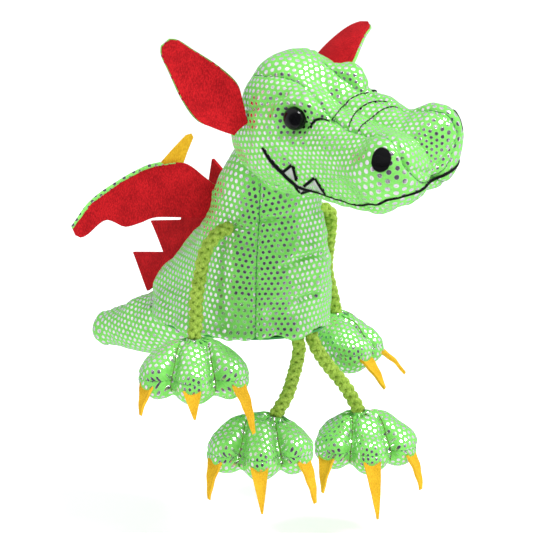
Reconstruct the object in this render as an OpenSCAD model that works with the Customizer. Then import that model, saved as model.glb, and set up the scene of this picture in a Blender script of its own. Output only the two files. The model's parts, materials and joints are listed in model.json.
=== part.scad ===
// Plush dragon finger puppet. The origin is the middle of the finger sleeve's mouth, in the
// plane of the body's hem. +Z is up, and the dragon looks along -Y, so its left is +X.

/* [Body] */
// Width of the seat, the widest part of the body
seat_w = 68; // [65:1:70]
// Width of the belly
belly_w = 54; // [51:1:56]
// Diameter of the neck
neck_d = 40; // [39:0.5:40.5]
// Height of the neck joint above the hem
neck_h = 57; // [56:0.5:58]

/* [Finger sleeve] */
// Inside diameter of the sleeve
sleeve_bore = 19; // [17:0.5:20]
// Depth that a finger goes in
sleeve_l = 50; // [46:1:50]
// Wall of the sleeve, a folded tube of lining cloth
sleeve_wall = 1.2; // [0.8:0.1:1.4]

/* [Head] */
// Width of the skull
skull_w = 44; // [43:0.5:45]
// Distance from the middle of the skull to the middle of the muzzle
snout_l = 57; // [55:1:58]
// Forward nod of the head at rest, in degrees
head_nod = 17; // [14:1:20]
// Sideways tilt of the head at rest, in degrees
head_tilt = -17; // [-19:1:-14]
// Diameter of an eye
eye_d = 9.5; // [8:0.5:10]

/* [Ears and wings] */
// Length of an ear
ear_l = 44; // [38:1:46]
// Width of an ear at its widest
ear_w = 20; // [17:1:21]
// Length of a wing from its root to its tip
wing_l = 51; // [46:1:52]
// Height of a wing at its claw
wing_h = 21; // [18:1:22]

/* [Limbs] */
// Diameter of the braided cord in the arms and legs
cord_d = 5; // [4:0.5:5]
// Width of a hand across its toes
hand_w = 42; // [38:1:43]
// Width of a foot across its toes
foot_w = 41; // [38:1:43]
// How long the claws are, against their usual length
claw_k = 1; // [0.8:0.05:1.1]

/* [Cloth] */
// Thickness of the backed foil cloth
skin_t = 0.8; // [0.6:0.1:0.9]
// Thickness of the felt
felt_t = 1.4; // [1:0.1:1.6]

/* [Hidden] */

foil = "lightgreen";
felt = "firebrick";
claw_felt = "gold";
stuffing = "whitesmoke";
braid = "yellowgreen";

joint_gap = 0.6;   // between two bodies that turn on each other
tail_gap = 1.2;    // between the tail and the seat it wags in
layer_gap = 0.2;   // between a skin and its filling
neck_at = [0, -4, neck_h];
head_at = [-8, -24, neck_h + 35];
tail_at = [0, 43, -2];
tail_ball = 15;

// ---- Vectors -------------------------------------------------------------------------

function unit(v) = v / norm(v);
function turn_x(p, a) = [p.x, p.y*cos(a) - p.z*sin(a), p.y*sin(a) + p.z*cos(a)];
function turn_y(p, a) = [p.x*cos(a) + p.z*sin(a), p.y, p.z*cos(a) - p.x*sin(a)];
function turn_z(p, a) = [p.x*cos(a) - p.y*sin(a), p.x*sin(a) + p.y*cos(a), p.z];
function in_head(p) = turn_x(turn_y(p - head_at, -head_tilt), -head_nod);

// ---- Soft shapes, as signed distances that are negative inside -------------------------

function egg(p, c, r) =
    let (q = p - c,
         k = norm([q.x/r.x, q.y/r.y, q.z/r.z]),
         s = norm([q.x/(r.x*r.x), q.y/(r.y*r.y), q.z/(r.z*r.z)]))
    k*(k - 1) / max(s, 1e-6);
function limb(p, a, b, ra, rb) =
    let (ab = b - a, t = max(0, min(1, (p - a)*ab / (ab*ab))))
    norm(p - a - t*ab) - ra - (rb - ra)*t;
function blend(a, b, k) = let (h = max(k - abs(a - b), 0)/k) min(a, b) - h*h*k/4;
function cut(a, b, k) = -blend(-a, -b, k);

body_shape = function (p)
    let (seat = egg(p, [0, 11, -7], [seat_w/2, 38, 31]),
         belly = egg(p, [0, -3, 22], [belly_w/2, 22, 28]),
         back = limb(p, [0, 33, 6], [0, 3, 42], 20, 17),
         neck = limb(p, [0, -2, 30], neck_at, 22, neck_d/2),
         whole = blend(blend(blend(seat, belly, 12), back, 14), neck, 10))
    cut(whole, -p.z, 3);

tail_shape = function (p)
    blend(limb(p, tail_at, [-3, 60, -9], tail_ball, 12.5),
          limb(p, [-3, 60, -9], [-8, 82, -14], 12.5, 7.5), 3);

// The head's own frame has its origin in the middle of the skull
head_shape = function (p)
    let (q = [abs(p.x), p.y, p.z],
         skull = egg(q, [0, -1, 1], [skull_w/2, 19, 23.5]),
         nape = egg(q, [0, 4, -13], [skull_w/2, 18, 15]),
         cheek = egg(q, [0, -8, -10], [skull_w/2 + 2, 18, 15]),
         snout = limb(q, [8, -12, 1], [7.5, -snout_l, 3], 14, 13),
         muzzle = egg(q, [8, -snout_l, 2], [15, 14, 11]),
         nostril = egg(q, [14, -snout_l - 3.5, 11.5], [9.5, 10, 9.5]),
         brow = egg(q, [12, -16, 12], [8, 8, 8]),
         jaw = limb(q, [11, -8, -14.5], [9.5, -52, -9.5], 12, 8),
         back = blend(blend(skull, nape, 8), cheek, 8),
         front = blend(blend(blend(back, snout, 9), muzzle, 8), nostril, 6),
         whole = blend(blend(front, brow, 6), jaw, 7))
    max(whole, neck_d/2 + joint_gap - norm(p - in_head(neck_at)));

// A paw's frame has its toes along -Y and its wrist up. w is its width, wrist where its cord ends.
function paw_shape(w, wrist) = function (p)
    let (pad = egg(p, [0, 1, 2], [w*0.42, 12, 10]),
         sides = [for (s = [-1, 1]) egg(p, [s*w*0.31, -4, -2], [w/5, 10, 8.5])],
         middle = egg(p, [0, -9, -3], [w/5, 10, 8.5]),
         whole = blend(blend(blend(pad, sides[0], 3), sides[1], 3), middle, 3))
    max(whole, cord_d/2 + 2*joint_gap - norm(p - wrist));

// ---- Skins and fillings: rays from a spine, stopped where they meet the shape ----------

// How far the shape is from o along d, found by halving the range between lo and hi
function reach(f, o, d, lo = 0, hi = 70, n = 15) =
    n == 0 ? lo : let (m = (lo + hi)/2) f(o + m*d) < 0 ? reach(f, o, d, m, hi, n - 1)
                                                       : reach(f, o, d, lo, m, n - 1);

// Stations along a spine from a to b, n steps apart, that lean out past both ends.
// Each is [place, lean], where lean goes from -back to +front degrees.
function spine(a, b, n, back, nb, front, nf) = concat(
    [for (i = [0:1:nb - 1]) [a, -back*(1 - i/nb)]],
    [for (i = [0:n]) [a + (b - a)*i/n, 0]],
    [for (i = [1:1:nf]) [b, front*i/nf]]);

// A frame is [start of the angle, quarter turn, along the spine]
upright = [[0, -1, 0], [1, 0, 0], [0, 0, 1]];
forward = [[0, 0, 1], [-1, 0, 0], [0, -1, 0]];
backward = [[0, 0, 1], [1, 0, 0], [0, 1, 0]];
function ray(fr, lean, a) = cos(lean)*(cos(a)*fr[0] + sin(a)*fr[1]) + sin(lean)*fr[2];

// A grid of points, one row for each station and one column for each angle
function grid(f, fr, stations, angles, depth) =
    [for (s = stations) [for (a = angles)
        let (d = ray(fr, s[1], a)) s[0] + d*(reach(f, s[0], d) - depth)]];

function flat(rows) = [for (r = rows) for (p = r) p];

// The two triangles of a four-sided face
function halves(a, b, c, d) = [[a, b, c], [a, c, d]];

// A panel of cloth between two grids of the same size, with its four edges closed
module panel(outer, inner) {
    rows = len(outer);
    cols = len(outer[0]);
    n = rows*cols;
    function at(i, j) = i*cols + j;
    top = [for (i = [0:rows - 2], j = [0:cols - 2]) each
        halves(at(i, j), at(i + 1, j), at(i + 1, j + 1), at(i, j + 1))];
    edge = concat([for (j = [0:cols - 2]) at(0, j)], [for (i = [0:rows - 2]) at(i, cols - 1)],
                  [for (j = [cols - 1:-1:1]) at(rows - 1, j)], [for (i = [rows - 1:-1:1]) at(i, 0)]);
    m = len(edge);
    polyhedron(concat(flat(outer), flat(inner)), concat(top,
        [for (t = top) [t[2] + n, t[1] + n, t[0] + n]],
        [for (k = [0:m - 1]) let (p = edge[k], q = edge[(k + 1) % m]) each halves(p, q, q + n, p + n)]));
}

// A closed solid through rings of points, from a first point to a last one
module closed(first, rings, last) {
    rows = len(rings);
    cols = len(rings[0]);
    function at(i, j) = 1 + i*cols + j % cols;
    tip = rows*cols + 1;
    polyhedron(concat([first], flat(rings), [last]), concat(
        [for (j = [0:cols - 1]) [0, at(0, j), at(0, j + 1)]],
        [for (i = [0:rows - 2], j = [0:cols - 1]) each
            halves(at(i, j), at(i + 1, j), at(i + 1, j + 1), at(i, j + 1))],
        [for (j = [0:cols - 1]) [tip, at(rows - 1, j + 1), at(rows - 1, j)]]));
}

function steps(from, to, n) = [for (i = [0:n]) from + (to - from)*i/n];
function middle(row) = [for (k = [0:2]) let (s = [for (p = row) p[k]]) total(s)/len(s)];
function total(v, i = 0) = i == len(v) ? 0 : v[i] + total(v, i + 1);
module skin(f, fr, stations, from, to, n) {
    angles = steps(from, to, n);
    panel(grid(f, fr, stations, angles, 0), grid(f, fr, stations, angles, skin_t));
}

// The cloth's filling, pressed against its inside. It has the same columns as the skin.
module filling(f, fr, stations, angles) {
    rings = grid(f, fr, stations, angles, skin_t + layer_gap);
    closed(middle(rings[0]), rings, middle(rings[len(rings) - 1]));
}
function round_about(n) = [for (j = [0:n - 1]) 360*j/n];

// ---- Body ------------------------------------------------------------------------------

body_heights = [0.3, 2, 5, 10, 16, 23, 30, 38, 46, neck_h - 2];
body_stations = concat(
    [for (z = body_heights) [[0, -3, z], 0]],
    [for (lean = [15, 32, 50]) [[0, -4, neck_h], lean]]);
belly_seam = 56;
belly_cols = 11;
side_cols = 12;

// Cuts the seat for the ball that the tail turns on
module with_tail_seat() difference() {
    children();
    translate(tail_at) sphere(r = tail_ball + tail_gap, $fn = 64);
}

module belly_panel() {
    color(foil) skin(body_shape, upright, body_stations, -belly_seam, belly_seam, belly_cols);
}
module body_side_left() {
    color(foil) with_tail_seat() skin(body_shape, upright, body_stations, belly_seam, 180, side_cols);
}
module body_side_right() {
    color(foil) with_tail_seat()
        skin(body_shape, upright, body_stations, 180, 360 - belly_seam, side_cols);
}

// The floor of the body, cut away around the sleeve and the root of the tail
module base_panel() {
    floor_z = 1.2;
    rim = [for (a = [0:15:345]) let (d = ray(upright, 0, a), o = [0, -3, floor_z])
        o + d*(reach(body_shape, o, d) - skin_t - 0.6)];
    color(foil) difference() {
        translate([0, 0, floor_z - 0.6]) linear_extrude(0.8) polygon([for (p = rim) [p.x, p.y]]);
        translate([0, 0, -1]) cylinder(d = sleeve_bore + 2*sleeve_wall, h = 6, $fn = 64);
        translate([tail_at.x, tail_at.y, -1]) cylinder(r = tail_ball + tail_gap, h = 6, $fn = 64);
    }
}

// The tube that takes a finger, closed at its top
module finger_sleeve() {
    color("green") difference() {
        cylinder(d = sleeve_bore + 2*sleeve_wall, h = sleeve_l + sleeve_wall, $fn = 64);
        translate([0, 0, -1]) cylinder(d = sleeve_bore, h = sleeve_l + 1, $fn = 64);
    }
}

module body_filling() {
    step = 2*belly_seam/belly_cols;
    side = steps(belly_seam, 180, side_cols);
    angles = concat(steps(-belly_seam, belly_seam, belly_cols), [for (k = [1:side_cols]) side[k]],
                    [for (k = [1:side_cols - 1]) 360 - side[side_cols - k]]);
    sleeve_r = (sleeve_bore/2 + sleeve_wall + layer_gap)/cos(step/2);
    around = function (z, r) [for (a = angles) [r*sin(a), -r*cos(a), z]];
    low = body_heights[1];
    top = sleeve_l + sleeve_wall + 0.5;
    outer = grid(body_shape, upright, [for (z = concat([for (k = [1:8]) body_heights[k]], [top + 0.8]))
        [[0, -3, z], 0]], angles, skin_t + layer_gap);
    color(stuffing) with_tail_seat() closed([0, 0, top], concat(
        [around(top, sleeve_r), around(low, sleeve_r)], outer), [0, -5, top + 0.8]);
}

// Stuffing of the neck, round about the neck joint so that the head turns and nods on it
module neck_filling() {
    floor_z = sleeve_l + sleeve_wall + 2;
    color(stuffing) intersection() {
        translate(neck_at) sphere(r = neck_d/2 - skin_t - layer_gap - 0.3, $fn = 48);
        translate([-30, -30, floor_z]) cube([60, 60, 40]);
    }
}

// A strip of felt caught in the back seam, cut into four spikes. The last reaches over the tail.
module back_spines() {
    roots = [58, 16];
    tips = [[28, 64], [43, 50], [65, 33], [76, 18]];
    notches = [[31, 51], [47, 36], [57, 21], [66.5, 3.2]];
    over_tail = [54, 12];
    back_at = function (z) -3 + reach(body_shape, [0, -3, z], [0, 1, 0]);
    heights = concat([for (z = body_heights) if (z >= roots[1]) z], [roots[0]]);
    inner = [for (z = heights) [back_at(z) + 0.5, z]];
    outer = concat([[back_at(roots[0]) + 1.8, roots[0]]], [for (i = [0:3]) each [tips[i], notches[i]]]);
    color(felt) translate([felt_t/2, 0, 0]) rotate([90, 0, -90]) mirror([1, 0, 0])
        linear_extrude(felt_t) polygon(concat(inner, outer, [over_tail]));
}

// ---- Head ------------------------------------------------------------------------------

head_stations = spine([0, 3, -3], [0, -snout_l - 1, 1], 9, 84, 4, 84, 4);
gusset_half = 42;
gusset_cols = 8;
jaw_half = 52;
jaw_cols = 8;
cheek_cols = 9;
head_angles = let (cheek = steps(gusset_half, 180 - jaw_half, cheek_cols))
    concat(steps(-gusset_half, gusset_half, gusset_cols), [for (k = [1:cheek_cols]) cheek[k]],
           [for (k = [1:jaw_cols]) 180 - jaw_half + 2*jaw_half*k/jaw_cols],
           [for (k = [1:cheek_cols - 1]) 360 - cheek[cheek_cols - k]]);

module on_head() translate(head_at) rotate([head_nod, head_tilt, 0]) children();

// The eye's place on the skin of side s, and the way it faces
// The left eye sits lower, and looks more to the side
eye_from = [[-9.3, -15.4, 9.4], [9.3, -14.5, 5]];            // right, then left
eye_way = [[-0.92, -0.24, 0.3], [0.95, -0.2, 0.05]];
eye_lift = [0.3, 1.1];
function eye_ray(s) = unit(eye_way[s < 0 ? 0 : 1]);
function eye_at(s) = let (o = eye_from[s < 0 ? 0 : 1]) o + eye_ray(s)*reach(head_shape, o, eye_ray(s));
module at_eye(s) {
    d = eye_ray(s);
    translate(eye_at(s)) rotate([0, acos(d.z), atan2(d.y, d.x)]) children();
}

module head_side(s) {
    from = s < 0 ? gusset_half : 180 + jaw_half;
    color(foil) on_head() difference() {
        skin(head_shape, forward, head_stations, from, from + 180 - gusset_half - jaw_half, cheek_cols);
        at_eye(s) translate([0, 0, -6]) cylinder(d = 3.4, h = 12, $fn = 24);
    }
}
module head_side_left() head_side(1);
module head_side_right() head_side(-1);
module head_gusset() {
    color(foil) on_head() skin(head_shape, forward, head_stations, -gusset_half, gusset_half, gusset_cols);
}
module jaw_panel() {
    color(foil) on_head() skin(head_shape, forward, head_stations, 180 - jaw_half, 180 + jaw_half, jaw_cols);
}
module head_filling() {
    color(stuffing) on_head() difference() {
        filling(head_shape, forward, head_stations, head_angles);
        for (s = [-1, 1]) at_eye(s) translate([0, 0, -6]) cylinder(d = 12, h = 14, $fn = 32);
    }
}

// A domed eye with a shank through the cloth, and the washer that holds the shank
module eye(s) {
    lift = eye_lift[s < 0 ? 0 : 1];
    color("black") on_head() at_eye(s) {
        translate([0, 0, lift]) intersection() {
            translate([0, 0, -0.6]) sphere(d = eye_d + 0.4, $fn = 48);
            cylinder(d = eye_d, h = eye_d, $fn = 48);
        }
        translate([0, 0, -5]) cylinder(d = 3, h = 5.1 + lift, $fn = 24);
    }
}
module eye_washer(s) {
    color("ivory") on_head() at_eye(s) translate([0, 0, -4.6]) difference() {
        cylinder(d = 11, h = 1.2, $fn = 32);
        translate([0, 0, -1]) cylinder(d = 3, h = 4, $fn = 24);
    }
}
module eye_left() eye(1);
module eye_right() eye(-1);
module eye_washer_left() eye_washer(1);
module eye_washer_right() eye_washer(-1);

// ---- Flat felt parts -------------------------------------------------------------------

// Stands an outline on a root, its x along one direction and its y across it
module flat_piece(root, along, across, from, thick, outline) {
    out = cross(along, across);
    multmatrix([for (k = [0:2]) [along[k], across[k], out[k], root[k]]])
        translate([0, 0, from]) linear_extrude(thick) polygon(outline);
}
function square_to(v, along) = unit(v - along*(v*along));

// An ear: half its width from the root to the tip, at fractions of its length
function ear_outline(l) = let (w = ear_w/2,
    half = [[0, 0.4], [0.12, 0.75], [0.28, 1], [0.5, 0.9], [0.75, 0.62], [0.93, 0.42], [1, 0.2]])
    concat([for (h = half) [h[0]*l, h[1]*w]],
           [for (i = [len(half) - 1:-1:0]) [half[i][0]*l, -half[i][1]*w]]);
ear_part = [0.95, 0.8];                                     // the left ear leans out from a fold
ear_root = [23.4, 8, 1];
ear_along = [[-0.33, 0.54, 0.77], [0.98, 0.15, 0.14]];      // right, then left
ear_across = [[-0.79, 0.26, -0.55], [-0.39, -0.88, 0.28]];

module ear(s, from, thick, c) {
    k = s < 0 ? 0 : 1;
    along = unit(ear_along[k]);
    l = ear_l*ear_part[k];
    color(c) on_head() flat_piece([s*ear_root.x, ear_root.y, ear_root.z] + 1.5*along, along,
        square_to(ear_across[k], along), from, thick, ear_outline(l));
}
module ear_left_felt() ear(1, -felt_t, felt_t, felt);
module ear_left_back() ear(1, 0, skin_t, foil);
module ear_right_felt() ear(-1, 0, felt_t, felt);
module ear_right_back() ear(-1, -skin_t, skin_t, foil);

// A wing's outline, from its root at x = 0 outward, and the claw on its leading edge
wing_outline = let (l = wing_l, h = wing_h)
    [[-8, 9], [l*0.12, h], [l*0.34, h*0.95], [l*0.43, h*0.88], [l*0.61, h*0.67], [l*0.84, h*0.28],
     [l, -h*0.2], [l*0.94, -h*0.36], [l*0.88, -h*0.3], [l*0.79, -h*0.1], [l*0.72, -h*0.04],
     [l*0.66, -h*0.1], [l*0.59, -h*0.18], [l*0.47, -h*0.1], [l*0.35, 0], [0, 0]];
wing_claw = [[7, wing_h - 2], [4.5, wing_h + 4], [2, wing_h + 10], [4.5, wing_h + 11], [10, wing_h + 6],
             [18, wing_h - 2]];
wing_root = [15.3, 22.3, 44];

module wing(s, from, thick, c, outline) {
    along = unit([s*0.7, 0.7, -0.03]);
    up = square_to([-s*0.1, 0.1, 1], along);
    color(c) flat_piece([s*wing_root.x, wing_root.y, wing_root.z], along, up,
        s < 0 ? from : -from - thick, thick, outline);
}
module wing_left_felt() wing(1, 0, felt_t, felt, wing_outline);
module wing_left_back() wing(1, -skin_t, skin_t, foil, wing_outline);
module wing_left_claw() wing(1, -skin_t - felt_t, felt_t, claw_felt, wing_claw);
module wing_right_felt() wing(-1, 0, felt_t, felt, wing_outline);
module wing_right_back() wing(-1, -skin_t, skin_t, foil, wing_outline);
module wing_right_claw() wing(-1, -skin_t - felt_t, felt_t, claw_felt, wing_claw);

// ---- Tail ------------------------------------------------------------------------------

tail_stations = concat(
    [for (lean = [-84, -60, -36, -14]) [tail_at, lean]],
    [for (t = steps(0, 1, 7)) [tail_at + t*([-8, 84, -14] - tail_at), 0]],
    [for (lean = [30, 60, 84]) [[-8, 84, -14], lean]]);

tail_cols = 9;
module tail_side_left() color(foil) skin(tail_shape, backward, tail_stations, 0, 180, tail_cols);
module tail_side_right() color(foil) skin(tail_shape, backward, tail_stations, 180, 360, tail_cols);
module tail_filling() color(stuffing) filling(tail_shape, backward, tail_stations, round_about(2*tail_cols));

// ---- Arms and legs ---------------------------------------------------------------------

// Each limb: [route of its cord from the joint at the body, the paw's place, its turn, its width,
// where the cord ends on it, the length of each claw, how far the claws droop]
arm_left = [[[26, -7, 45], [31, -7, 43], [34, -5, 37], [36.5, -1.5, 28], [39.5, 2.5, 17], [44, 4, 6]],
            [47.5, 3.5, -15], 45, hand_w, [0, 1, 12], [13, 12.5, 12], 0.35];
arm_right = [[[-26, -7, 45], [-31, -6, 43], [-36, -5, 37], [-40, -6, 28], [-44, -8, 19], [-48, -12, 12]],
             [-52, -15, -5], -45, hand_w, [0, 1, 12], [9.8, 8.6, 17], 1.1];
leg_left = [[[6, -22.5, -3.5], [8.5, -23, -8], [14, -23.5, -15], [21, -24.5, -23], [26, -25, -30]],
            [31, -27, -48], -35, foot_w, [-2, 1, 12], [12, 20, 13], 1.3];
leg_right = [[[-3, -23.5, -3.5], [-4.5, -24, -9], [-8.5, -25.5, -15], [-14.5, -28, -21]],
             [-27, -26, -38], -45, foot_w, [6, 1, 11.5], [13, 15.2, 14.8], 1.3];
function wrist_of(l) = l[1] + turn_z(l[4], l[2]);

// A smooth curve through the points of a route, n steps in each stretch
function along_route(p, n) = let (m = len(p) - 1)
    [for (i = [0:m - 1], k = [0:n - 1]) let (t = k/n,
        a = p[max(i - 1, 0)], b = p[i], c = p[i + 1], d = p[min(i + 2, m)])
        0.5*(2*b + t*(c - a) + t*t*(2*a - 5*b + 4*c - d) + t*t*t*(3*b - a - 3*c + d))];

// The cord: a tube of 10 sides along its route, with round ends
module cord(l) {
    route = concat(l[0], [wrist_of(l)]);
    line = concat(along_route(route, 3), [route[len(route) - 1]]);
    last = len(line) - 1;
    r = cord_d/2;
    ring = function (at, way, r) let (side = unit(cross(way, [0.31, 0.9, 0.3])), other = cross(way, side))
        [for (a = [0:36:324]) at + r*(cos(a)*side + sin(a)*other)];
    ways = [for (i = [0:last]) unit(line[min(i + 1, last)] - line[max(i - 1, 0)])];
    rings = concat(
        [for (b = [70, 40]) ring(line[0] - r*sin(b)*ways[0], ways[0], r*cos(b))],
        [for (i = [0:last]) ring(line[i], ways[i], r)],
        [for (b = [40, 70]) ring(line[last] + r*sin(b)*ways[last], ways[last], r*cos(b))]);
    color(braid) closed(line[0] - r*ways[0], rings, line[last] + r*ways[last]);
}

paw_lean = 66;
paw_stations = spine([0, -2.5, -2], [0, -2.5, 1], 1, 84, 4, paw_lean, 3);
paw_top = [for (i = [4:len(paw_stations) - 1]) paw_stations[i]];
paw_sole = [for (i = [0:4]) paw_stations[i]];
paw_cols = 26;

module on_paw(l) translate(l[1]) rotate([0, 0, l[2]]) children();
module paw_skin(l, stations) {
    color(foil) on_paw(l) ring_skin(paw_shape(l[3], l[4]), stations, paw_cols);
}
module paw_filling(l) {
    color(stuffing) on_paw(l) filling(paw_shape(l[3], l[4]), upright, paw_stations, round_about(paw_cols));
}

// A skin that goes all the way round, open at both ends
module ring_skin(f, stations, cols) {
    angles = round_about(cols);
    outer = grid(f, upright, stations, angles, 0);
    inner = grid(f, upright, stations, angles, skin_t);
    rows = len(outer);
    n = rows*cols;
    function at(i, j) = i*cols + j % cols;
    wall = [for (i = [0:rows - 2], j = [0:cols - 1]) each
        halves(at(i, j), at(i + 1, j), at(i + 1, j + 1), at(i, j + 1))];
    polyhedron(concat(flat(outer), flat(inner)), concat(wall,
        [for (w = wall) [w[2] + n, w[1] + n, w[0] + n]],
        [for (j = [0:cols - 1]) each halves(at(0, j), at(0, j + 1), at(0, j + 1) + n, at(0, j) + n)],
        [for (j = [0:cols - 1], i = [rows - 1]) each
            halves(at(i, j + 1), at(i, j), at(i, j) + n, at(i, j + 1) + n)]));
}

// Claw k of 1 to 3: a curved sliver of felt that hangs from the end of a toe
function claw_outline(l) = [[-3.6, 0], [3.6, 0], [2.7, -l*0.35], [1.5, -l*0.7], [0.2, -l],
                            [-0.5, -l*0.96], [-2.1, -l*0.45]];
module claw(l, k) {
    a = (k - 2)*48;
    o = [(k - 2)*l[3]*0.28, -6, -3];
    d = unit([sin(a), -cos(a), -0.2]);
    root = o + d*(reach(paw_shape(l[3], l[4]), o, d, 0, 30) + 0.7);
    down = unit(d + [0, 0, -l[6]]);
    color(claw_felt) on_paw(l) flat_piece(root, square_to([cos(a), sin(a), 0], -down), -down,
        -felt_t/2, felt_t, claw_outline(claw_k*l[5][k - 1]));
}

module arm_cord_left() cord(arm_left);
module hand_left_top() paw_skin(arm_left, paw_top);
module hand_left_palm() paw_skin(arm_left, paw_sole);
module hand_left_filling() paw_filling(arm_left);
module arm_cord_right() cord(arm_right);
module hand_right_top() paw_skin(arm_right, paw_top);
module hand_right_palm() paw_skin(arm_right, paw_sole);
module hand_right_filling() paw_filling(arm_right);
module leg_cord_left() cord(leg_left);
module foot_left_top() paw_skin(leg_left, paw_top);
module foot_left_sole() paw_skin(leg_left, paw_sole);
module foot_left_filling() paw_filling(leg_left);
module leg_cord_right() cord(leg_right);
module foot_right_top() paw_skin(leg_right, paw_top);
module foot_right_sole() paw_skin(leg_right, paw_sole);
module foot_right_filling() paw_filling(leg_right);

belly_panel();
body_side_left();
body_side_right();
base_panel();
finger_sleeve();
body_filling();
back_spines();
neck_filling();
head_side_left();
head_side_right();
head_gusset();
jaw_panel();
head_filling();
eye_left();
eye_right();
eye_washer_left();
eye_washer_right();
ear_left_felt();
ear_left_back();
ear_right_felt();
ear_right_back();
wing_left_felt();
wing_left_back();
wing_left_claw();
wing_right_felt();
wing_right_back();
wing_right_claw();
tail_side_left();
tail_side_right();
tail_filling();
arm_cord_left();
hand_left_top();
hand_left_palm();
hand_left_filling();
arm_cord_right();
hand_right_top();
hand_right_palm();
hand_right_filling();
leg_cord_left();
foot_left_top();
foot_left_sole();
foot_left_filling();
leg_cord_right();
foot_right_top();
foot_right_sole();
foot_right_filling();
for (k = [1:3]) {
    claw(arm_left, k);
    claw(arm_right, k);
    claw(leg_left, k);
    claw(leg_right, k);
}
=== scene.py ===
# %% [markdown]
# # A plush dragon finger puppet
# The dragon is about 19 cm tall. A head and a body of green cloth with foil dots are
# stuffed tight, and four paws dangle from lengths of braided cord. Ears, wings and back spines
# are cut from felt. A tube of lining cloth inside the body takes a finger.
# Everything here is measured in millimetres, and becomes metres when a mesh is made.

# %% Frame and tools
import json
import math

import bpy
import numpy as np
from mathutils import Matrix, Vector
from mathutils.bvhtree import BVHTree
from mathutils.geometry import delaunay_2d_cdt

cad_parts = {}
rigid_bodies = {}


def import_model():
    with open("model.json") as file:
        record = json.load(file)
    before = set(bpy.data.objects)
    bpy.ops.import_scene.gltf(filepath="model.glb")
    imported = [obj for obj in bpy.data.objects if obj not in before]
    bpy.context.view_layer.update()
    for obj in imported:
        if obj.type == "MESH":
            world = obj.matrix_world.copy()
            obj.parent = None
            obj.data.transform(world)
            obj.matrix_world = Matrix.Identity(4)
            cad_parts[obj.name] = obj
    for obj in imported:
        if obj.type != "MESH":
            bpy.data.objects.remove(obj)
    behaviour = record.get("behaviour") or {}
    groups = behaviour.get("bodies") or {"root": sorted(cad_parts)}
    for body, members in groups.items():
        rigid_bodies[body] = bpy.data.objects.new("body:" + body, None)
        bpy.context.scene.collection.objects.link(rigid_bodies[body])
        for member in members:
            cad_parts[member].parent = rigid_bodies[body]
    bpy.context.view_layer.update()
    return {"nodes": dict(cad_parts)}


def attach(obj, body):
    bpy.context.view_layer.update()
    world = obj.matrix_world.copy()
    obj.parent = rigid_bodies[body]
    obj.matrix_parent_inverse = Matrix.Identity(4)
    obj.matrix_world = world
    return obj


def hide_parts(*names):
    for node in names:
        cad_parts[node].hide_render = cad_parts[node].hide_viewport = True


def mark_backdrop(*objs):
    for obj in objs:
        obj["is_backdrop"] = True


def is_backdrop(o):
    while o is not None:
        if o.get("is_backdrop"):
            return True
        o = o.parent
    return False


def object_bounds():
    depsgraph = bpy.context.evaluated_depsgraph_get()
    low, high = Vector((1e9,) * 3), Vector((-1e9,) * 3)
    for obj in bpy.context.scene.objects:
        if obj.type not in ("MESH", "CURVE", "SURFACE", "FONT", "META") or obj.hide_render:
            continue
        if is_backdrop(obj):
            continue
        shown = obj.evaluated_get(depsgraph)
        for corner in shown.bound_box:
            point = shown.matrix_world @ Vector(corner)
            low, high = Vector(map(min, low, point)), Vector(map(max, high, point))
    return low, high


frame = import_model()
MM = 0.001
PER_SQUARE_MM = 1e6

# %% [markdown]
# ## Soft shapes
# A stuffed toy has no flat faces and no sharp corners, so its parts are told as signed
# distances: eggs and tapered limbs that flow into each other. The same shapes made the solid
# part, so the cloth lies where the part says. Modelling by hand in sculpt mode would look as
# good, but wouldn't stay in step with the part.

# %% Eggs, limbs and how they flow together
NECK = np.array((0, -4, 57.0))
NECK_SEAT = 20.3
TAIL = np.array((0, 43, -2.0))
TAIL_SEAT = 15.2
HEAD = np.array((-8, -24, 92.0))
FELT = 1.4
FOIL_CLOTH = 0.7


def vec(*p):
    return np.array(p, float)


def unit(v):
    return v / np.maximum(np.linalg.norm(v, axis=-1, keepdims=True), 1e-12)


def egg(p, c, r):
    """Distance to an egg with its centre at c and these three radii."""
    q = p - vec(*c)
    r = vec(*r)
    k = np.linalg.norm(q / r, axis=-1)
    return k * (k - 1) / np.maximum(np.linalg.norm(q / r**2, axis=-1), 1e-6)


def limb(p, a, b, ra, rb):
    """Distance to a round bar from a to b that tapers from one radius to the other."""
    a, b = vec(*a), vec(*b)
    t = np.clip((p - a) @ (b - a) / ((b - a) @ (b - a)), 0, 1)
    return np.linalg.norm(p - a - t[..., None] * (b - a), axis=-1) - ra - (rb - ra) * t


def flow(a, b, k):
    """Two shapes as one, with a soft hollow about k wide between them."""
    h = np.maximum(k - np.abs(a - b), 0) / k
    return np.minimum(a, b) - h * h * k / 4


def ball(p, c):
    return np.linalg.norm(p - vec(*c), axis=-1)


def turn(axis, degrees):
    """A rotation about x, y or z."""
    c, s = math.cos(math.radians(degrees)), math.sin(math.radians(degrees))
    if axis == "x":
        return np.array(((1, 0, 0), (0, c, -s), (0, s, c)))
    if axis == "y":
        return np.array(((c, 0, s), (0, 1, 0), (-s, 0, c)))
    return np.array(((c, -s, 0), (s, c, 0), (0, 0, 1)))


HEAD_TURN = turn("y", -17) @ turn("x", 17)


def from_head(p):
    """Points told from the middle of the untilted head, put where the head really is."""
    return np.asarray(p, float) @ HEAD_TURN.T + HEAD


def body_shape(p):
    seat = egg(p, (0, 11, -7), (34, 38, 31))
    belly = egg(p, (0, -3, 22), (27, 22, 28))
    back = limb(p, (0, 33, 6), (0, 3, 42), 20, 17)
    neck = limb(p, (0, -2, 30), NECK, 22, 20)
    whole = flow(flow(flow(seat, belly, 12), back, 14), neck, 10)
    whole = -flow(-whole, p[..., 2], 3)
    return np.maximum(whole, TAIL_SEAT - ball(p, TAIL))


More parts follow.
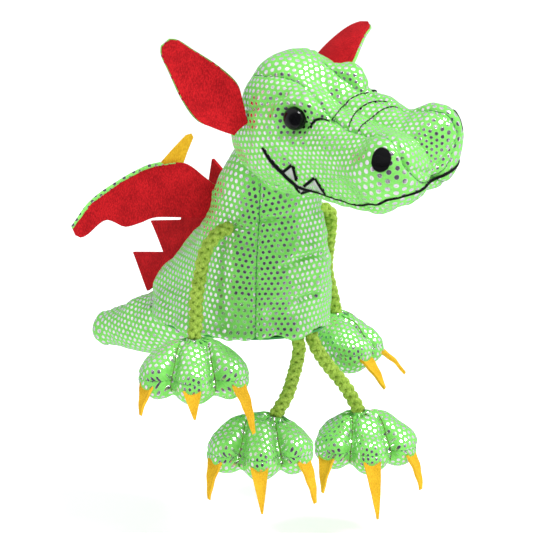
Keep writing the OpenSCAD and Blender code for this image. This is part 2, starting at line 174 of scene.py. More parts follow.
def tail_shape(p):
    thick = limb(p, TAIL, (-3, 60, -9), 15, 12.5)
    return flow(thick, limb(p, (-3, 60, -9), (-8, 82, -14), 12.5, 7.5), 3)


def head_shape(p):
    q = p * 1.0
    q[..., 0] = np.abs(q[..., 0])
    skull = egg(q, (0, -1, 1), (22, 19, 23.5))
    nape = egg(q, (0, 4, -13), (22, 18, 15))
    cheek = egg(q, (0, -8, -10), (24, 18, 15))
    snout = limb(q, (8, -12, 1), (7.5, -57, 3), 14, 13)
    muzzle = egg(q, (8, -57, 2), (15, 14, 11))
    nostril = egg(q, (14, -60.5, 11.5), (9.5, 10, 9.5))
    brow = egg(q, (12, -16, 12), (8, 8, 8))
    jaw = limb(q, (11, -8, -14.5), (9.5, -52, -9.5), 12, 8)
    back = flow(flow(skull, nape, 8), cheek, 8)
    front = flow(flow(flow(back, snout, 9), muzzle, 8), nostril, 6)
    whole = flow(flow(front, brow, 6), jaw, 7)
    return np.maximum(whole, NECK_SEAT - ball(p, (NECK - HEAD) @ HEAD_TURN))


def paw_shape(w, wrist):
    """A paw w wide: a pad and three toes, hollowed a little round the wrist."""
    def shape(p):
        pad = egg(p, (0, 1, 2), (w * 0.42, 12, 10))
        for s in (-1, 1):
            pad = flow(pad, egg(p, (s * w * 0.31, -4, -2), (w / 5, 10, 8.5)), 3)
        pad = flow(pad, egg(p, (0, -9, -3), (w / 5, 10, 8.5)), 3)
        return np.maximum(pad, 2.7 - ball(p, wrist))
    return shape


# %% [markdown]
# ## Wrapping cloth on a shape
# A skin is a grid of points. Rays leave a spine inside the shape, and each one stops where it
# meets the surface. The grid's columns run along the seams, so every panel of cloth keeps its
# own edges and its own flat pattern.

# %% Rays, grids and distances on them
UPRIGHT = (vec(0, -1, 0), vec(1, 0, 0), vec(0, 0, 1))
FORWARD = (vec(0, 0, 1), vec(-1, 0, 0), vec(0, -1, 0))
BACKWARD = (vec(0, 0, 1), vec(1, 0, 0), vec(0, 1, 0))


def reach(shape, origins, ways, far=75.0):
    """Where rays from inside a shape meet its surface, found by halving the interval."""
    low, high = np.zeros(len(origins)), np.full(len(origins), far)
    for _ in range(22):
        mid = (low + high) / 2
        inside = shape(origins + ways * mid[:, None]) < 0
        low, high = np.where(inside, mid, low), np.where(inside, high, mid)
    return origins + ways * low[:, None]


def wrap(shape, axes, origins, leans, angles):
    """A row of points for each place on the spine, and a column for each angle round it."""
    lean = np.radians(leans)[:, None, None]
    a = np.radians(angles)[..., None]
    ways = np.cos(lean) * (np.cos(a) * axes[0] + np.sin(a) * axes[1]) + np.sin(lean) * axes[2]
    starts = np.broadcast_to(origins[:, None, :], ways.shape)
    return reach(shape, starts.reshape(-1, 3), ways.reshape(-1, 3)).reshape(ways.shape)


def outward(points, middle):
    """The way each point of a closed ring grid faces."""
    round_ring = np.roll(points, -1, 1) - np.roll(points, 1, 1)
    n = unit(np.cross(round_ring, np.gradient(points, axis=0)))
    return n if ((points - middle) * n).sum() > 0 else -n


def from_column(points, column):
    """How far each point is from one column, measured round its ring."""
    step = np.linalg.norm(np.roll(points, -1, 1) - points, axis=2)
    along = np.cumsum(step, 1) - step
    apart = np.abs(along - along[:, [column]])
    return np.minimum(apart, step.sum(1, keepdims=True) - apart)


def along_column(points, column):
    """How far along a seam each ring of a grid is."""
    step = np.linalg.norm(np.diff(points[:, column], axis=0), axis=1)
    return np.concatenate([[0], np.cumsum(step)])[:, None]


def smooth(route, step=0.5):
    """A soft curve through a few points, with a point every step."""
    p = np.asarray(route, float)
    p = np.vstack([2 * p[0] - p[1], p, 2 * p[-1] - p[-2]])
    out = []
    for a, b, c, d in zip(p, p[1:], p[2:], p[3:]):
        t = np.linspace(0, 1, max(2, int(np.linalg.norm(c - b) / step) + 1))[:-1, None]
        curve = 2 * b + t * (c - a) + t * t * (2 * a - 5 * b + 4 * c - d)
        out.append(0.5 * (curve + t**3 * (3 * b - a - 3 * c + d)))
    return np.vstack(out + [p[-2:-1]])


def near(points, route, width):
    """1 on a line over the surface, fading to 0 a few widths away from it."""
    line = smooth(route, width / 2)
    flat = points.reshape(-1, 3)
    d = np.full(len(flat), 1e9)
    for a, b in zip(line, line[1:]):
        t = np.clip((flat - a) @ (b - a) / max((b - a) @ (b - a), 1e-9), 0, 1)
        d = np.minimum(d, ((flat - a - t[:, None] * (b - a)) ** 2).sum(1))
    return np.exp(-d / width**2).reshape(points.shape[:-1])


def lumps(points, size, seed, waves=14):
    """Soft unevenness, about -1 to 1, with bumps about this size."""
    dice = np.random.default_rng(seed)
    ways = unit(dice.normal(size=(waves, 3))) * 2 * math.pi / size
    ways *= dice.uniform(0.6, 1.5, (waves, 1))
    phase = dice.uniform(0, 2 * math.pi, waves)
    return np.cos(points @ ways.T + phase).sum(-1) * 1.4 / waves**0.5


# %% [markdown]
# ## Seams
# Two panels are sewn inside out and turned, so that a seam is a narrow valley. The thread pulls
# the cloth in at every stitch, and the pull dies out some millimetres away. A valley with
# regular puckers shows that with a few numbers. Sculpting each pucker would take hours.

# %% The valley and the puckers of a seam


def seam_pull(points, column, depth=1.25, pitch=3.4, pucker=0.45, seed=1):
    """How far a seam in this column draws each point of the cloth inwards."""
    d = from_column(points, column)
    s = along_column(points, column) + 0.8 * lumps(points, 11, seed)
    valley = depth * np.exp(-((d / 0.85) ** 1.4))
    folds = pucker * np.exp(-d / 3.2) * (1 + np.cos(2 * math.pi * s / pitch)) / 2
    return valley + folds * (0.6 + 0.5 * lumps(points, 17, seed + 1))


def pushed(points, n, inwards):
    return points - n * inwards[..., None]


# %% [markdown]
# ## The flat pattern
# Foil dots are printed on flat cloth before it is cut. Each panel is therefore unrolled, scaled
# to its real area, and turned so that the rows of dots climb the same way. Dots then keep their
# size on every panel, and stretch only where the real cloth would.

# %% Unrolling a panel


def cells_of(q):
    """Corner numbers of each four-sided cell of a grid."""
    rows, cols = q.shape[:2]
    k = np.arange(rows * cols).reshape(rows, cols)
    a, b, c, d = k[:-1, :-1], k[:-1, 1:], k[1:, 1:], k[1:, :-1]
    return np.stack([a, b, c, d], -1).reshape(-1, 4)


def area(p, quads):
    """Total area of cells, flat or in space."""
    one = np.cross(p[quads[:, 1]] - p[quads[:, 0]], p[quads[:, 2]] - p[quads[:, 0]])
    two = np.cross(p[quads[:, 2]] - p[quads[:, 0]], p[quads[:, 3]] - p[quads[:, 0]])
    if p.shape[1] == 2:
        return np.abs(one + two).sum() / 2
    return (np.linalg.norm(one, axis=1) + np.linalg.norm(two, axis=1)).sum() / 2


def unroll(points, up):
    """The panel's flat pattern in millimetres, a place for each point of its grid."""
    rows, cols = points.shape[:2]
    pick_r = np.unique(np.append(np.arange(0, rows, 3), rows - 1))
    pick_c = np.unique(np.append(np.arange(0, cols, 3), cols - 1))
    q = points[np.ix_(pick_r, pick_c)]
    quads = cells_of(q)
    flat = q.reshape(-1, 3)
    mesh = bpy.data.meshes.new("pattern")
    mesh.from_pydata(flat.tolist(), [], quads.tolist())
    pattern = bpy.data.objects.new("pattern", mesh)
    bpy.context.scene.collection.objects.link(pattern)
    bpy.context.view_layer.objects.active = pattern
    pattern.select_set(True)
    mesh.uv_layers.new(name="flat")
    bpy.ops.object.mode_set(mode="EDIT")
    bpy.ops.mesh.select_all(action="SELECT")
    bpy.ops.uv.unwrap(method="ANGLE_BASED", margin=0)
    bpy.ops.object.mode_set(mode="OBJECT")
    loops = np.zeros(len(mesh.loops) * 2)
    mesh.uv_layers["flat"].data.foreach_get("uv", loops)
    corner = np.zeros(len(mesh.loops), int)
    mesh.loops.foreach_get("vertex_index", corner)
    uv = np.zeros((len(flat), 2))
    uv[corner] = loops.reshape(-1, 2)
    bpy.data.objects.remove(pattern)
    bpy.data.meshes.remove(mesh)
    uv *= math.sqrt(area(flat, quads) / area(uv, quads))
    uv -= uv.mean(0)
    climb = np.linalg.lstsq(uv, flat @ up - (flat @ up).mean(), rcond=None)[0]
    v = climb / np.linalg.norm(climb)
    uv = np.stack([uv @ vec(v[1], -v[0]), uv @ v], 1).reshape(len(pick_r), len(pick_c), 2)
    full = np.zeros((rows, len(pick_c), 2))
    out = np.zeros((rows, cols, 2))
    for k in range(2):
        for j in range(len(pick_c)):
            full[:, j, k] = np.interp(np.arange(rows), pick_r, uv[:, j, k])
        for i in range(rows):
            out[i, :, k] = np.interp(np.arange(cols), pick_c, full[i, :, k])
    return out


# %% [markdown]
# ## From grids to meshes
# A stuffed part is one closed mesh. Every face knows which panel it belongs to, so its corners
# take their place on that panel's pattern.

# %% Mesh makers


def keep(mesh, name, material, body=None):
    obj = bpy.data.objects.new(name, mesh)
    bpy.context.scene.collection.objects.link(obj)
    mesh.materials.append(material)
    if body:
        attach(obj, body)
    return obj


def laid_out(points):
    """A dome's pattern: every column keeps its own length from the middle of the dome."""
    step = np.linalg.norm(np.diff(points, axis=0), axis=2)
    far = np.concatenate([0 * step[:1], np.cumsum(step, 0)])
    way = unit(points[..., :2] - points[0, :, :2].mean(0))
    way[0] = way[1]
    return far[..., None] * way


def stuffed(name, points, middle, panels, up, material, body, caps=(True, True), rim=None):
    """A closed ring grid as a mesh. panels are (first column, last column) pairs. A part with a
    rim is made of two domes of cloth instead, which meet in that row."""
    rows, cols = points.shape[:2]
    k = np.arange(rows * cols).reshape(rows, cols)
    right = np.roll(k, -1, 1)
    quads = np.stack([k[:-1], right[:-1], right[1:], k[1:]], -1)
    uv = np.zeros((rows - 1, cols, 4, 2))
    for number, (first, last) in enumerate(panels):
        column = np.arange(first, last + 1)
        flat = unroll(points[:, column % cols], up) + vec(7.3, 3.1) * number
        inside = column[:-1] % cols
        uv[:, inside, 0], uv[:, inside, 1] = flat[:-1, :-1], flat[:-1, 1:]
        uv[:, inside, 2], uv[:, inside, 3] = flat[1:, 1:], flat[1:, :-1]
    if rim:
        lower, upper = laid_out(points[: rim + 1]), laid_out(points[rim:][::-1])[::-1]
        for flat, start in ((lower, 0), (upper + vec(40.3, 11.1), rim)):
            beside = np.roll(flat, -1, 1)
            some = uv[start : start + len(flat) - 1]
            some[:, :, 0], some[:, :, 1] = flat[:-1], beside[:-1]
            some[:, :, 2], some[:, :, 3] = beside[1:], flat[1:]
    quads, uv = quads.reshape(-1, 4), uv.reshape(-1, 4, 2)
    p = points.reshape(-1, 3)
    a, b, c = p[quads[:, 0]], p[quads[:, 1]], p[quads[:, 3]]
    if (np.cross(b - a, c - a) * (a - middle)).sum() < 0:
        quads, uv = quads[:, ::-1], uv[:, ::-1]
        ends = [k[0].tolist(), k[-1][::-1].tolist()]
    else:
        ends = [k[0][::-1].tolist(), k[-1].tolist()]
    faces = quads.tolist() + [ring for ring, wanted in zip(ends, caps) if wanted]
    mesh = bpy.data.meshes.new(name)
    mesh.from_pydata((p * MM).tolist(), [], faces)
    layer = mesh.uv_layers.new(name="cloth")
    corners = np.zeros((len(mesh.loops), 2))
    corners[: uv.size // 2] = uv.reshape(-1, 2)
    layer.data.foreach_set("uv", corners.ravel())
    mesh.shade_smooth()
    obj = keep(mesh, name, material, body)
    print(f"{name}: {len(mesh.polygons)} faces, {len(panels) or 2} panels")
    return obj


def square_frame(line):
    """Two ways square to a line at each of its points, that don't twist round it."""
    way = unit(np.gradient(line, axis=0))
    side = np.zeros_like(line)
    last = unit(np.cross(way[0], vec(0.31, 0.9, 0.3)))
    for i in range(len(line)):
        last = unit(last - way[i] * (last @ way[i]))
        side[i] = last
    return side, np.cross(way, side)


def tube(line, radius, sides=8):
    """Points and faces of a closed tube; radius is a number or one for each point."""
    side, other = square_frame(line)
    a = np.arange(sides) * 2 * math.pi / sides
    r = np.broadcast_to(np.asarray(radius, float), len(line))[:, None, None]
    ring = np.cos(a)[:, None] * side[:, None] + np.sin(a)[:, None] * other[:, None]
    p = (line[:, None] + r * ring).reshape(-1, 3)
    k = np.arange(len(p)).reshape(len(line), sides)
    right = np.roll(k, -1, 1)
    faces = np.stack([k[:-1], right[:-1], right[1:], k[1:]], -1).reshape(-1, 4).tolist()
    faces += [k[0][::-1].tolist(), k[-1].tolist()]
    return p, faces


def joined(name, parts, material, body):
    """Several (points, faces) as one mesh."""
    points, faces, start = [], [], 0
    for p, f in parts:
        points.append(p)
        faces += [[i + start for i in face] for face in f]
        start += len(p)
    mesh = bpy.data.meshes.new(name)
    mesh.from_pydata((np.vstack(points) * MM).tolist(), [], faces)
    mesh.shade_smooth()
    return keep(mesh, name, material, body)


# %% [markdown]
# ## Shader helpers
# A shader group gives colours, masks and heights, and the Principled shader that uses them
# stays outside. The one group here is the hexagonal foil dots.

# %% Node helpers


def group(name, inputs, outputs):
    """A shader group with named sockets, and its two end nodes."""
    tree = bpy.data.node_groups.new(name, "ShaderNodeTree")
    for label, kind, value in inputs:
        socket = tree.interface.new_socket(label, in_out="INPUT", socket_type=kind)
        if value is not None:
            socket.default_value = value
    for label, kind in outputs:
        tree.interface.new_socket(label, in_out="OUTPUT", socket_type=kind)
    return tree, tree.nodes.new("NodeGroupInput"), tree.nodes.new("NodeGroupOutput")


def wire(tree, value, socket):
    """Links an output to a socket, or sets the socket to a plain value."""
    if isinstance(value, bpy.types.NodeSocket):
        tree.links.new(value, socket)
    elif value is not None:
        socket.default_value = value


def math_node(tree, operation, a, b=None):
    node = tree.nodes.new("ShaderNodeMath")
    node.operation = operation
    wire(tree, a, node.inputs[0])
    wire(tree, b, node.inputs[1])
    return node.outputs[0]


def vector_node(tree, operation, a, b=None):
    node = tree.nodes.new("ShaderNodeVectorMath")
    node.operation = operation
    wire(tree, a, node.inputs[0])
    wire(tree, b, node.inputs[1])
    return node.outputs["Value" if operation in ("LENGTH", "DOT_PRODUCT") else "Vector"]


def mix_colour(tree, factor, a, b):
    node = tree.nodes.new("ShaderNodeMix")
    node.data_type = "RGBA"
    wire(tree, factor, node.inputs["Factor"])
    wire(tree, a, node.inputs[6])
    wire(tree, b, node.inputs[7])
    return node.outputs[2]


def span(tree, value, low, high, to_low=0.0, to_high=1.0, soft=True):
    """Maps low to high onto to_low to to_high, with soft ends if wanted."""
    node = tree.nodes.new("ShaderNodeMapRange")
    node.interpolation_type = "SMOOTHSTEP" if soft else "LINEAR"
    wire(tree, value, node.inputs["Value"])
    node.inputs["From Min"].default_value = low
    node.inputs["From Max"].default_value = high
    node.inputs["To Min"].default_value = to_low
    node.inputs["To Max"].default_value = to_high
    return node.outputs["Result"]


def noise(tree, vector, scale, detail=3.0, roughness=0.55):
    node = tree.nodes.new("ShaderNodeTexNoise")
    wire(tree, vector, node.inputs["Vector"])
    node.inputs["Scale"].default_value = scale
    node.inputs["Detail"].default_value = detail
    node.inputs["Roughness"].default_value = roughness
    return node.outputs["Fac"]


def bump(tree, height, distance, strength=1.0, normal=None):
    node = tree.nodes.new("ShaderNodeBump")
    node.inputs["Strength"].default_value = strength
    node.inputs["Distance"].default_value = distance
    wire(tree, height, node.inputs["Height"])
    wire(tree, normal, node.inputs["Normal"])
    return node.outputs["Normal"]


def material(name):
    made = bpy.data.materials.new(name)
    made.use_nodes = True
    tree = made.node_tree
    return made, tree, tree.nodes["Principled BSDF"]


# %% Foil dots: a mask of discs in a hexagonal lattice
DOT_PITCH, DOT_SIZE = 2.6, 1.45
dots, dots_in, dots_out = group(
    "foil_dots",
    [("Vector", "NodeSocketVector", None), ("Pitch", "NodeSocketFloat", DOT_PITCH),
     ("Diameter", "NodeSocketFloat", DOT_SIZE)],
    [("Mask", "NodeSocketFloat")])
cell = dots.nodes.new("ShaderNodeCombineXYZ")
dots.links.new(dots_in.outputs["Pitch"], cell.inputs[0])
dots.links.new(math_node(dots, "MULTIPLY", dots_in.outputs["Pitch"], 3**0.5), cell.inputs[1])
cell.inputs[2].default_value = 1.0
placed = vector_node(dots, "DIVIDE", dots_in.outputs["Vector"], cell.outputs[0])
nearest = []
for shift in ((0.0, 0.0, 0.0), (0.5, 0.5, 0.0)):
    moved = vector_node(dots, "FRACTION", vector_node(dots, "ADD", placed, shift))
    offset = vector_node(dots, "SUBTRACT", moved, (0.5, 0.5, 0.0))
    flat_offset = vector_node(dots, "MULTIPLY", offset, (1.0, 1.0, 0.0))
    in_mm = vector_node(dots, "MULTIPLY", flat_offset, cell.outputs[0])
    nearest.append(vector_node(dots, "LENGTH", in_mm))
distance = math_node(dots, "MINIMUM", *nearest)
radius = math_node(dots, "MULTIPLY", dots_in.outputs["Diameter"], 0.5)
edge = math_node(dots, "SUBTRACT", radius, distance)
dots.links.new(span(dots, edge, -0.06, 0.06), dots_out.inputs["Mask"])
print(f"foil dots every {DOT_PITCH} mm, {DOT_SIZE} mm across")

# %% [markdown]
# ## Foil cloth
# The cloth is a fine green tricot with discs of thin metal film pressed on. Between the dots it
# is matt, and the dots mirror the room: white walls at the sides, the dark side of the room from
# the front. The film isn't quite flat, so that each dot catches another piece of the room.

# %% The foil cloth material


def foil_cloth(name, base, shade, diameter=DOT_SIZE):
    """Green cloth with foil dots, drawn on the flat pattern in millimetres."""
    made, tree, shader = material(name)
    place = tree.nodes.new("ShaderNodeUVMap")
    place.uv_map = "cloth"
    wobble = tree.nodes.new("ShaderNodeTexNoise")
    wobble.inputs["Scale"].default_value = 0.12
    wire(tree, place.outputs[0], wobble.inputs["Vector"])
    centred = vector_node(tree, "SUBTRACT", wobble.outputs["Color"], (0.5, 0.5, 0.5))
    bent = vector_node(tree, "MULTIPLY", centred, (0.9, 0.9, 0.0))
    where = vector_node(tree, "ADD", place.outputs[0], bent)
    node = tree.nodes.new("ShaderNodeGroup")
    node.node_tree = dots
    node.inputs["Diameter"].default_value = diameter
    wire(tree, where, node.inputs["Vector"])
    mask = node.outputs["Mask"]
    knit = noise(tree, vector_node(tree, "MULTIPLY", place.outputs[0], (1.0, 0.35, 1.0)), 5.5)
    shade_patches = noise(tree, place.outputs[0], 0.21)
    # The knit's fine tone runs between the cloth green and a painted shade green.
    green = mix_colour(tree, span(tree, knit, 0.3, 0.7), shade, base)
    # Random patches about 5 mm across take the cloth up to a third of the way to the painted shade
    # green.
    green = mix_colour(tree, span(tree, shade_patches, 0.35, 0.7, 0.0, 0.35), green, shade)
    film = mix_colour(tree, span(tree, noise(tree, place.outputs[0], 0.9), 0.35, 0.65),
                      (0.93, 0.86, 0.95, 1), (1.0, 0.99, 1.0, 1))
    wire(tree, mix_colour(tree, mask, green, film), shader.inputs["Base Color"])
    wire(tree, mask, shader.inputs["Metallic"])
    wire(tree, span(tree, mask, 0, 1, 0.78, 0.2, False), shader.inputs["Roughness"])
    shader.inputs["Sheen Weight"].default_value = 0.12
    shader.inputs["Sheen Roughness"].default_value = 0.4
    shader.inputs["Sheen Tint"].default_value = (0.75, 1.0, 0.7, 1)
    cloth = bump(tree, knit, 0.00012, 0.55)
    crumple = bump(tree, noise(tree, place.outputs[0], 0.42, 2.0), 0.0006, 0.5, cloth)
    relief = bump(tree, mask, 0.00005, 0.6, crumple)
    wire(tree, relief, shader.inputs["Normal"])
    return made


# The second green of each foil cloth is a painted shade green, used by the knit tone and its patches.
foil = foil_cloth("foil_cloth", (0.27, 0.78, 0.16, 1), (0.15, 0.59, 0.08, 1))
foil_light = foil_cloth("foil_cloth_light", (0.34, 0.86, 0.19, 1), (0.22, 0.7, 0.12, 1), 1.4)

# %% [markdown]
# ## Felt, thread, yarn and plastic
# Felt is matted fibre: its colour is uneven at the size of a fibre, and light slides over the
# nap. Embroidery thread is smooth and a little shiny. The eyes are polished plastic.

# %% The other materials


def felt_like(name, light, dark, height=0.00025):
    made, tree, shader = material(name)
    place = tree.nodes.new("ShaderNodeTexCoord").outputs["Object"]
    fibres = noise(tree, vector_node(tree, "MULTIPLY", place, (1.0, 1.0, 0.4)), 2600, 4, 0.65)
    clouds = noise(tree, place, 160, 2)
    tone = math_node(tree, "ADD", math_node(tree, "MULTIPLY", fibres, 0.75),
                     math_node(tree, "MULTIPLY", clouds, 0.25))
    mixed = mix_colour(tree, span(tree, tone, 0.36, 0.64), dark, light)
    wire(tree, mixed, shader.inputs["Base Color"])
    shader.inputs["Roughness"].default_value = 0.95
    shader.inputs["Specular IOR Level"].default_value = 0.15
    shader.inputs["Sheen Weight"].default_value = 0.18
    shader.inputs["Sheen Roughness"].default_value = 0.6
    shader.inputs["Sheen Tint"].default_value = light
    wire(tree, bump(tree, tone, height, 0.8), shader.inputs["Normal"])
    return made


def plain(name, colour, roughness, specular=0.3):
    """One even finish, for thread and plastic too small or too smooth to show a pattern."""
    made, tree, shader = material(name)
    shader.inputs["Base Color"].default_value = colour
    shader.inputs["Roughness"].default_value = roughness
    shader.inputs["Specular IOR Level"].default_value = specular
    return made


red_felt = felt_like("red_felt", (0.62, 0.012, 0.018, 1), (0.30, 0.004, 0.008, 1))
yellow_felt = felt_like("claw_felt", (0.88, 0.52, 0.03, 1), (0.66, 0.34, 0.015, 1), 0.00012)
yarn = felt_like("yarn", (0.46, 0.64, 0.11, 1), (0.21, 0.35, 0.035, 1), 0.0003)
black_thread = plain("black_thread", (0.004, 0.004, 0.005, 1), 0.6, 0.2)
white_thread = plain("tooth_thread", (0.52, 0.54, 0.52, 1), 0.55)
green_thread = plain("green_thread", (0.02, 0.22, 0.05, 1), 0.6)
olive_thread = plain("olive_thread", (0.10, 0.20, 0.02, 1), 0.7)
eye_plastic = plain("eye_plastic", (0.003, 0.003, 0.0035, 1), 0.1, 0.22)
lining = plain("lining", (0.05, 0.30, 0.07, 1), 0.85)
print(len(bpy.data.materials), "materials")

# %% [markdown]
# ## Threads by Geometry Nodes
# A row of stitches is one short thread many times over. The script says where each stitch lies,
# and a node tree puts a thread on every place, thin at its ends as a pulled stitch is. The tree
# is turned into a plain mesh, one for each body that the stitches ride on.

# %% The stitch tree


def node_tree(name, inputs):
    """A Geometry Nodes tree that takes a mesh and these values, and the node they come from."""
    tree = bpy.data.node_groups.new(name, "GeometryNodeTree")
    tree.interface.new_socket("Geometry", in_out="INPUT", socket_type="NodeSocketGeometry")
    for label, kind in inputs:
        tree.interface.new_socket(label, in_out="INPUT", socket_type=kind)
    tree.interface.new_socket("Geometry", in_out="OUTPUT", socket_type="NodeSocketGeometry")
    tree.nodes.new("NodeGroupOutput")
    return tree, tree.nodes.new("NodeGroupInput")


def attribute(tree, name, kind):
    """A value that the mesh brings for each of its points."""
    node = tree.nodes.new("GeometryNodeInputNamedAttribute")
    node.data_type = kind
    node.inputs["Name"].default_value = name
    return node.outputs["Attribute"]


def thread_on(tree, points, way, long, facets):
    """Puts a thread on every point of a tree, pointing this way and this long, and ends the tree."""
    start, end = tree.nodes["Group Input"], tree.nodes["Group Output"]
    thread = tree.nodes.new("GeometryNodeMeshUVSphere")
    thread.inputs["Segments"].default_value = facets
    thread.inputs["Rings"].default_value = facets
    thread.inputs["Radius"].default_value = 0.5
    align = tree.nodes.new("FunctionNodeAlignRotationToVector")
    align.axis = "Z"
    size = tree.nodes.new("ShaderNodeCombineXYZ")
    put = tree.nodes.new("GeometryNodeInstanceOnPoints")
    real = tree.nodes.new("GeometryNodeRealizeInstances")
    paint = tree.nodes.new("GeometryNodeSetMaterial")
    for output, socket in (
            (way, align.inputs["Vector"]), (start.outputs["Thickness"], size.inputs[0]),
            (start.outputs["Thickness"], size.inputs[1]), (long, size.inputs[2]),
            (points, put.inputs["Points"]), (thread.outputs["Mesh"], put.inputs["Instance"]),
            (align.outputs[0], put.inputs["Rotation"]), (size.outputs[0], put.inputs["Scale"]),
            (put.outputs[0], real.inputs[0]), (real.outputs[0], paint.inputs["Geometry"]),
            (start.outputs["Material"], paint.inputs["Material"]),
            (paint.outputs[0], end.inputs[0])):
        tree.links.new(output, socket)


stitch_tree, start = node_tree(
    "stitches", [("Thickness", "NodeSocketFloat"), ("Material", "NodeSocketMaterial")])
thread_on(stitch_tree, start.outputs["Geometry"], attribute(stitch_tree, "way", "FLOAT_VECTOR"),
          attribute(stitch_tree, "long", "FLOAT"), 6)

# %% The fuzz tree: short fibres that stand out of felt and yarn
FIBRE_STRAY = 1.1
fuzz_tree, start = node_tree(
    "fuzz", [("Density", "NodeSocketFloat"), ("Length", "NodeSocketFloat"),
             ("Thickness", "NodeSocketFloat"), ("Seed", "NodeSocketInt"),
             ("Material", "NodeSocketMaterial")])
scatter = fuzz_tree.nodes.new("GeometryNodeDistributePointsOnFaces")
fuzz_tree.links.new(start.outputs["Geometry"], scatter.inputs["Mesh"])
fuzz_tree.links.new(start.outputs["Density"], scatter.inputs["Density"])
fuzz_tree.links.new(start.outputs["Seed"], scatter.inputs["Seed"])
stray = fuzz_tree.nodes.new("FunctionNodeRandomValue")
stray.data_type = "FLOAT_VECTOR"
stray.inputs["Min"].default_value = (-FIBRE_STRAY, -FIBRE_STRAY, -FIBRE_STRAY)
stray.inputs["Max"].default_value = (FIBRE_STRAY, FIBRE_STRAY, FIBRE_STRAY)
lean = fuzz_tree.nodes.new("ShaderNodeVectorMath")
lean.operation = "ADD"
fuzz_tree.links.new(scatter.outputs["Normal"], lean.inputs[0])
fuzz_tree.links.new(stray.outputs[0], lean.inputs[1])
spread = fuzz_tree.nodes.new("FunctionNodeRandomValue")
spread.data_type = "FLOAT"
spread.inputs[2].default_value = 0.5
spread.inputs[3].default_value = 1.5
longer = fuzz_tree.nodes.new("ShaderNodeMath")
longer.operation = "MULTIPLY"
fuzz_tree.links.new(spread.outputs[1], longer.inputs[0])
fuzz_tree.links.new(start.outputs["Length"], longer.inputs[1])
thread_on(fuzz_tree, scatter.outputs["Points"], lean.outputs[0], longer.outputs[0], 3)

# %% Running a tree and keeping its mesh


def grown(name, mesh, tree, values, paint, body):
    """Runs a node tree on a mesh, and keeps the result as a plain mesh that rides on a body."""
    holder = bpy.data.objects.new("holder", mesh)
    bpy.context.scene.collection.objects.link(holder)
    modifier = holder.modifiers.new("grow", "NODES")
    modifier.node_group = tree
    sockets = {s.name: s.identifier for s in tree.interface.items_tree if s.in_out == "INPUT"}
    for label, value in values.items():
        modifier[sockets[label]] = value
    modifier[sockets["Material"]] = paint
    ready = holder.evaluated_get(bpy.context.evaluated_depsgraph_get())
    plain_mesh = bpy.data.meshes.new_from_object(ready)
    bpy.data.objects.remove(holder)
    plain_mesh.name = name
    plain_mesh.shade_smooth()
    obj = bpy.data.objects.new(name, plain_mesh)
    bpy.context.scene.collection.objects.link(obj)
    print(f"{name}: {len(plain_mesh.polygons)} faces")
    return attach(obj, body)


def stitches(name, places, ways, lengths, thick, paint, body):
    """One thread at each place, pointing its own way and as long as its own length."""
    mesh = bpy.data.meshes.new(name + "_places")
    mesh.from_pydata((np.asarray(places) * MM).tolist(), [], [])
    way = mesh.attributes.new("way", "FLOAT_VECTOR", "POINT")
    way.data.foreach_set("vector", unit(np.asarray(ways, float)).ravel())
    long = mesh.attributes.new("long", "FLOAT", "POINT")
    long.data.foreach_set("value", np.asarray(lengths, float) * MM)
    return grown(name, mesh, stitch_tree, {"Thickness": thick * MM}, paint, body)


def fuzz(obj, body, paint, density, length, seed, thick=0.035):
    """Fibres all over a piece. density is how many stand on a square millimetre."""
    values = {"Density": density * PER_SQUARE_MM, "Length": length * MM, "Thickness": thick * MM,
              "Seed": seed}
    return grown(obj.name + "_fuzz", obj.data.copy(), fuzz_tree, values, paint, body)


def seam_stitches(name, lines, paint, body, every=2.4, long=2.5, thick=0.5):
    """Thread along the bottoms of seams, a stitch at a time."""
    places, ways = [], []
    for line in lines:
        along = np.concatenate([[0], np.cumsum(np.linalg.norm(np.diff(line, axis=0), axis=1))])
        at = np.arange(every / 2, along[-1], every)
        p = np.stack([np.interp(at, along, line[:, k]) for k in range(3)], 1)
        q = np.stack([np.interp(at + 0.4, along, line[:, k]) for k in range(3)], 1)
        places.append(p)
        ways.append(q - p)
    places, ways = np.vstack(places), np.vstack(ways)
    return stitches(name, places, ways, np.full(len(places), long), thick, paint, body)


# %% [markdown]
# ## The body
# Two sides and a belly panel, stuffed round the finger sleeve. The belly is quilted by short
# rows of stitches, which show as creases, and a soft fold hangs from under each arm.
# A cloth simulation with pressure would find folds of its own, but the shape is known here, and
# the few folds that matter can be laid where the real ones are.

# %% The body's cloth
BELLY = 56
BELLY_COLS, SIDE_COLS = 110, 108
LEFT_SEAM, RIGHT_SEAM, BACK_SEAM = BELLY_COLS, 0, BELLY_COLS + SIDE_COLS
WALL_ROWS, DOME_ROWS = 110, 28
belly_angles = np.linspace(-BELLY, BELLY, BELLY_COLS + 1)[:-1]
side_angles = np.linspace(BELLY, 360 - BELLY, 2 * SIDE_COLS + 1)[:-1]
angles = np.concatenate([belly_angles, side_angles])
z = np.concatenate([np.linspace(0.3, NECK[2] - 0.5, WALL_ROWS), np.full(DOME_ROWS, NECK[2])])
leans = np.concatenate([np.zeros(WALL_ROWS), np.linspace(3, 88, DOME_ROWS)])
origins = np.stack([0 * z, -3 - np.clip(z / NECK[2], 0, 1), z], 1)
body = wrap(body_shape, UPRIGHT, origins, leans, np.broadcast_to(angles, (len(z), len(angles))))
body_middle = vec(0, 8, 20)
body_out = outward(body, body_middle)
print(f"body: {len(z)} rings of {len(angles)} points, belly panel {2 * BELLY} degrees wide")

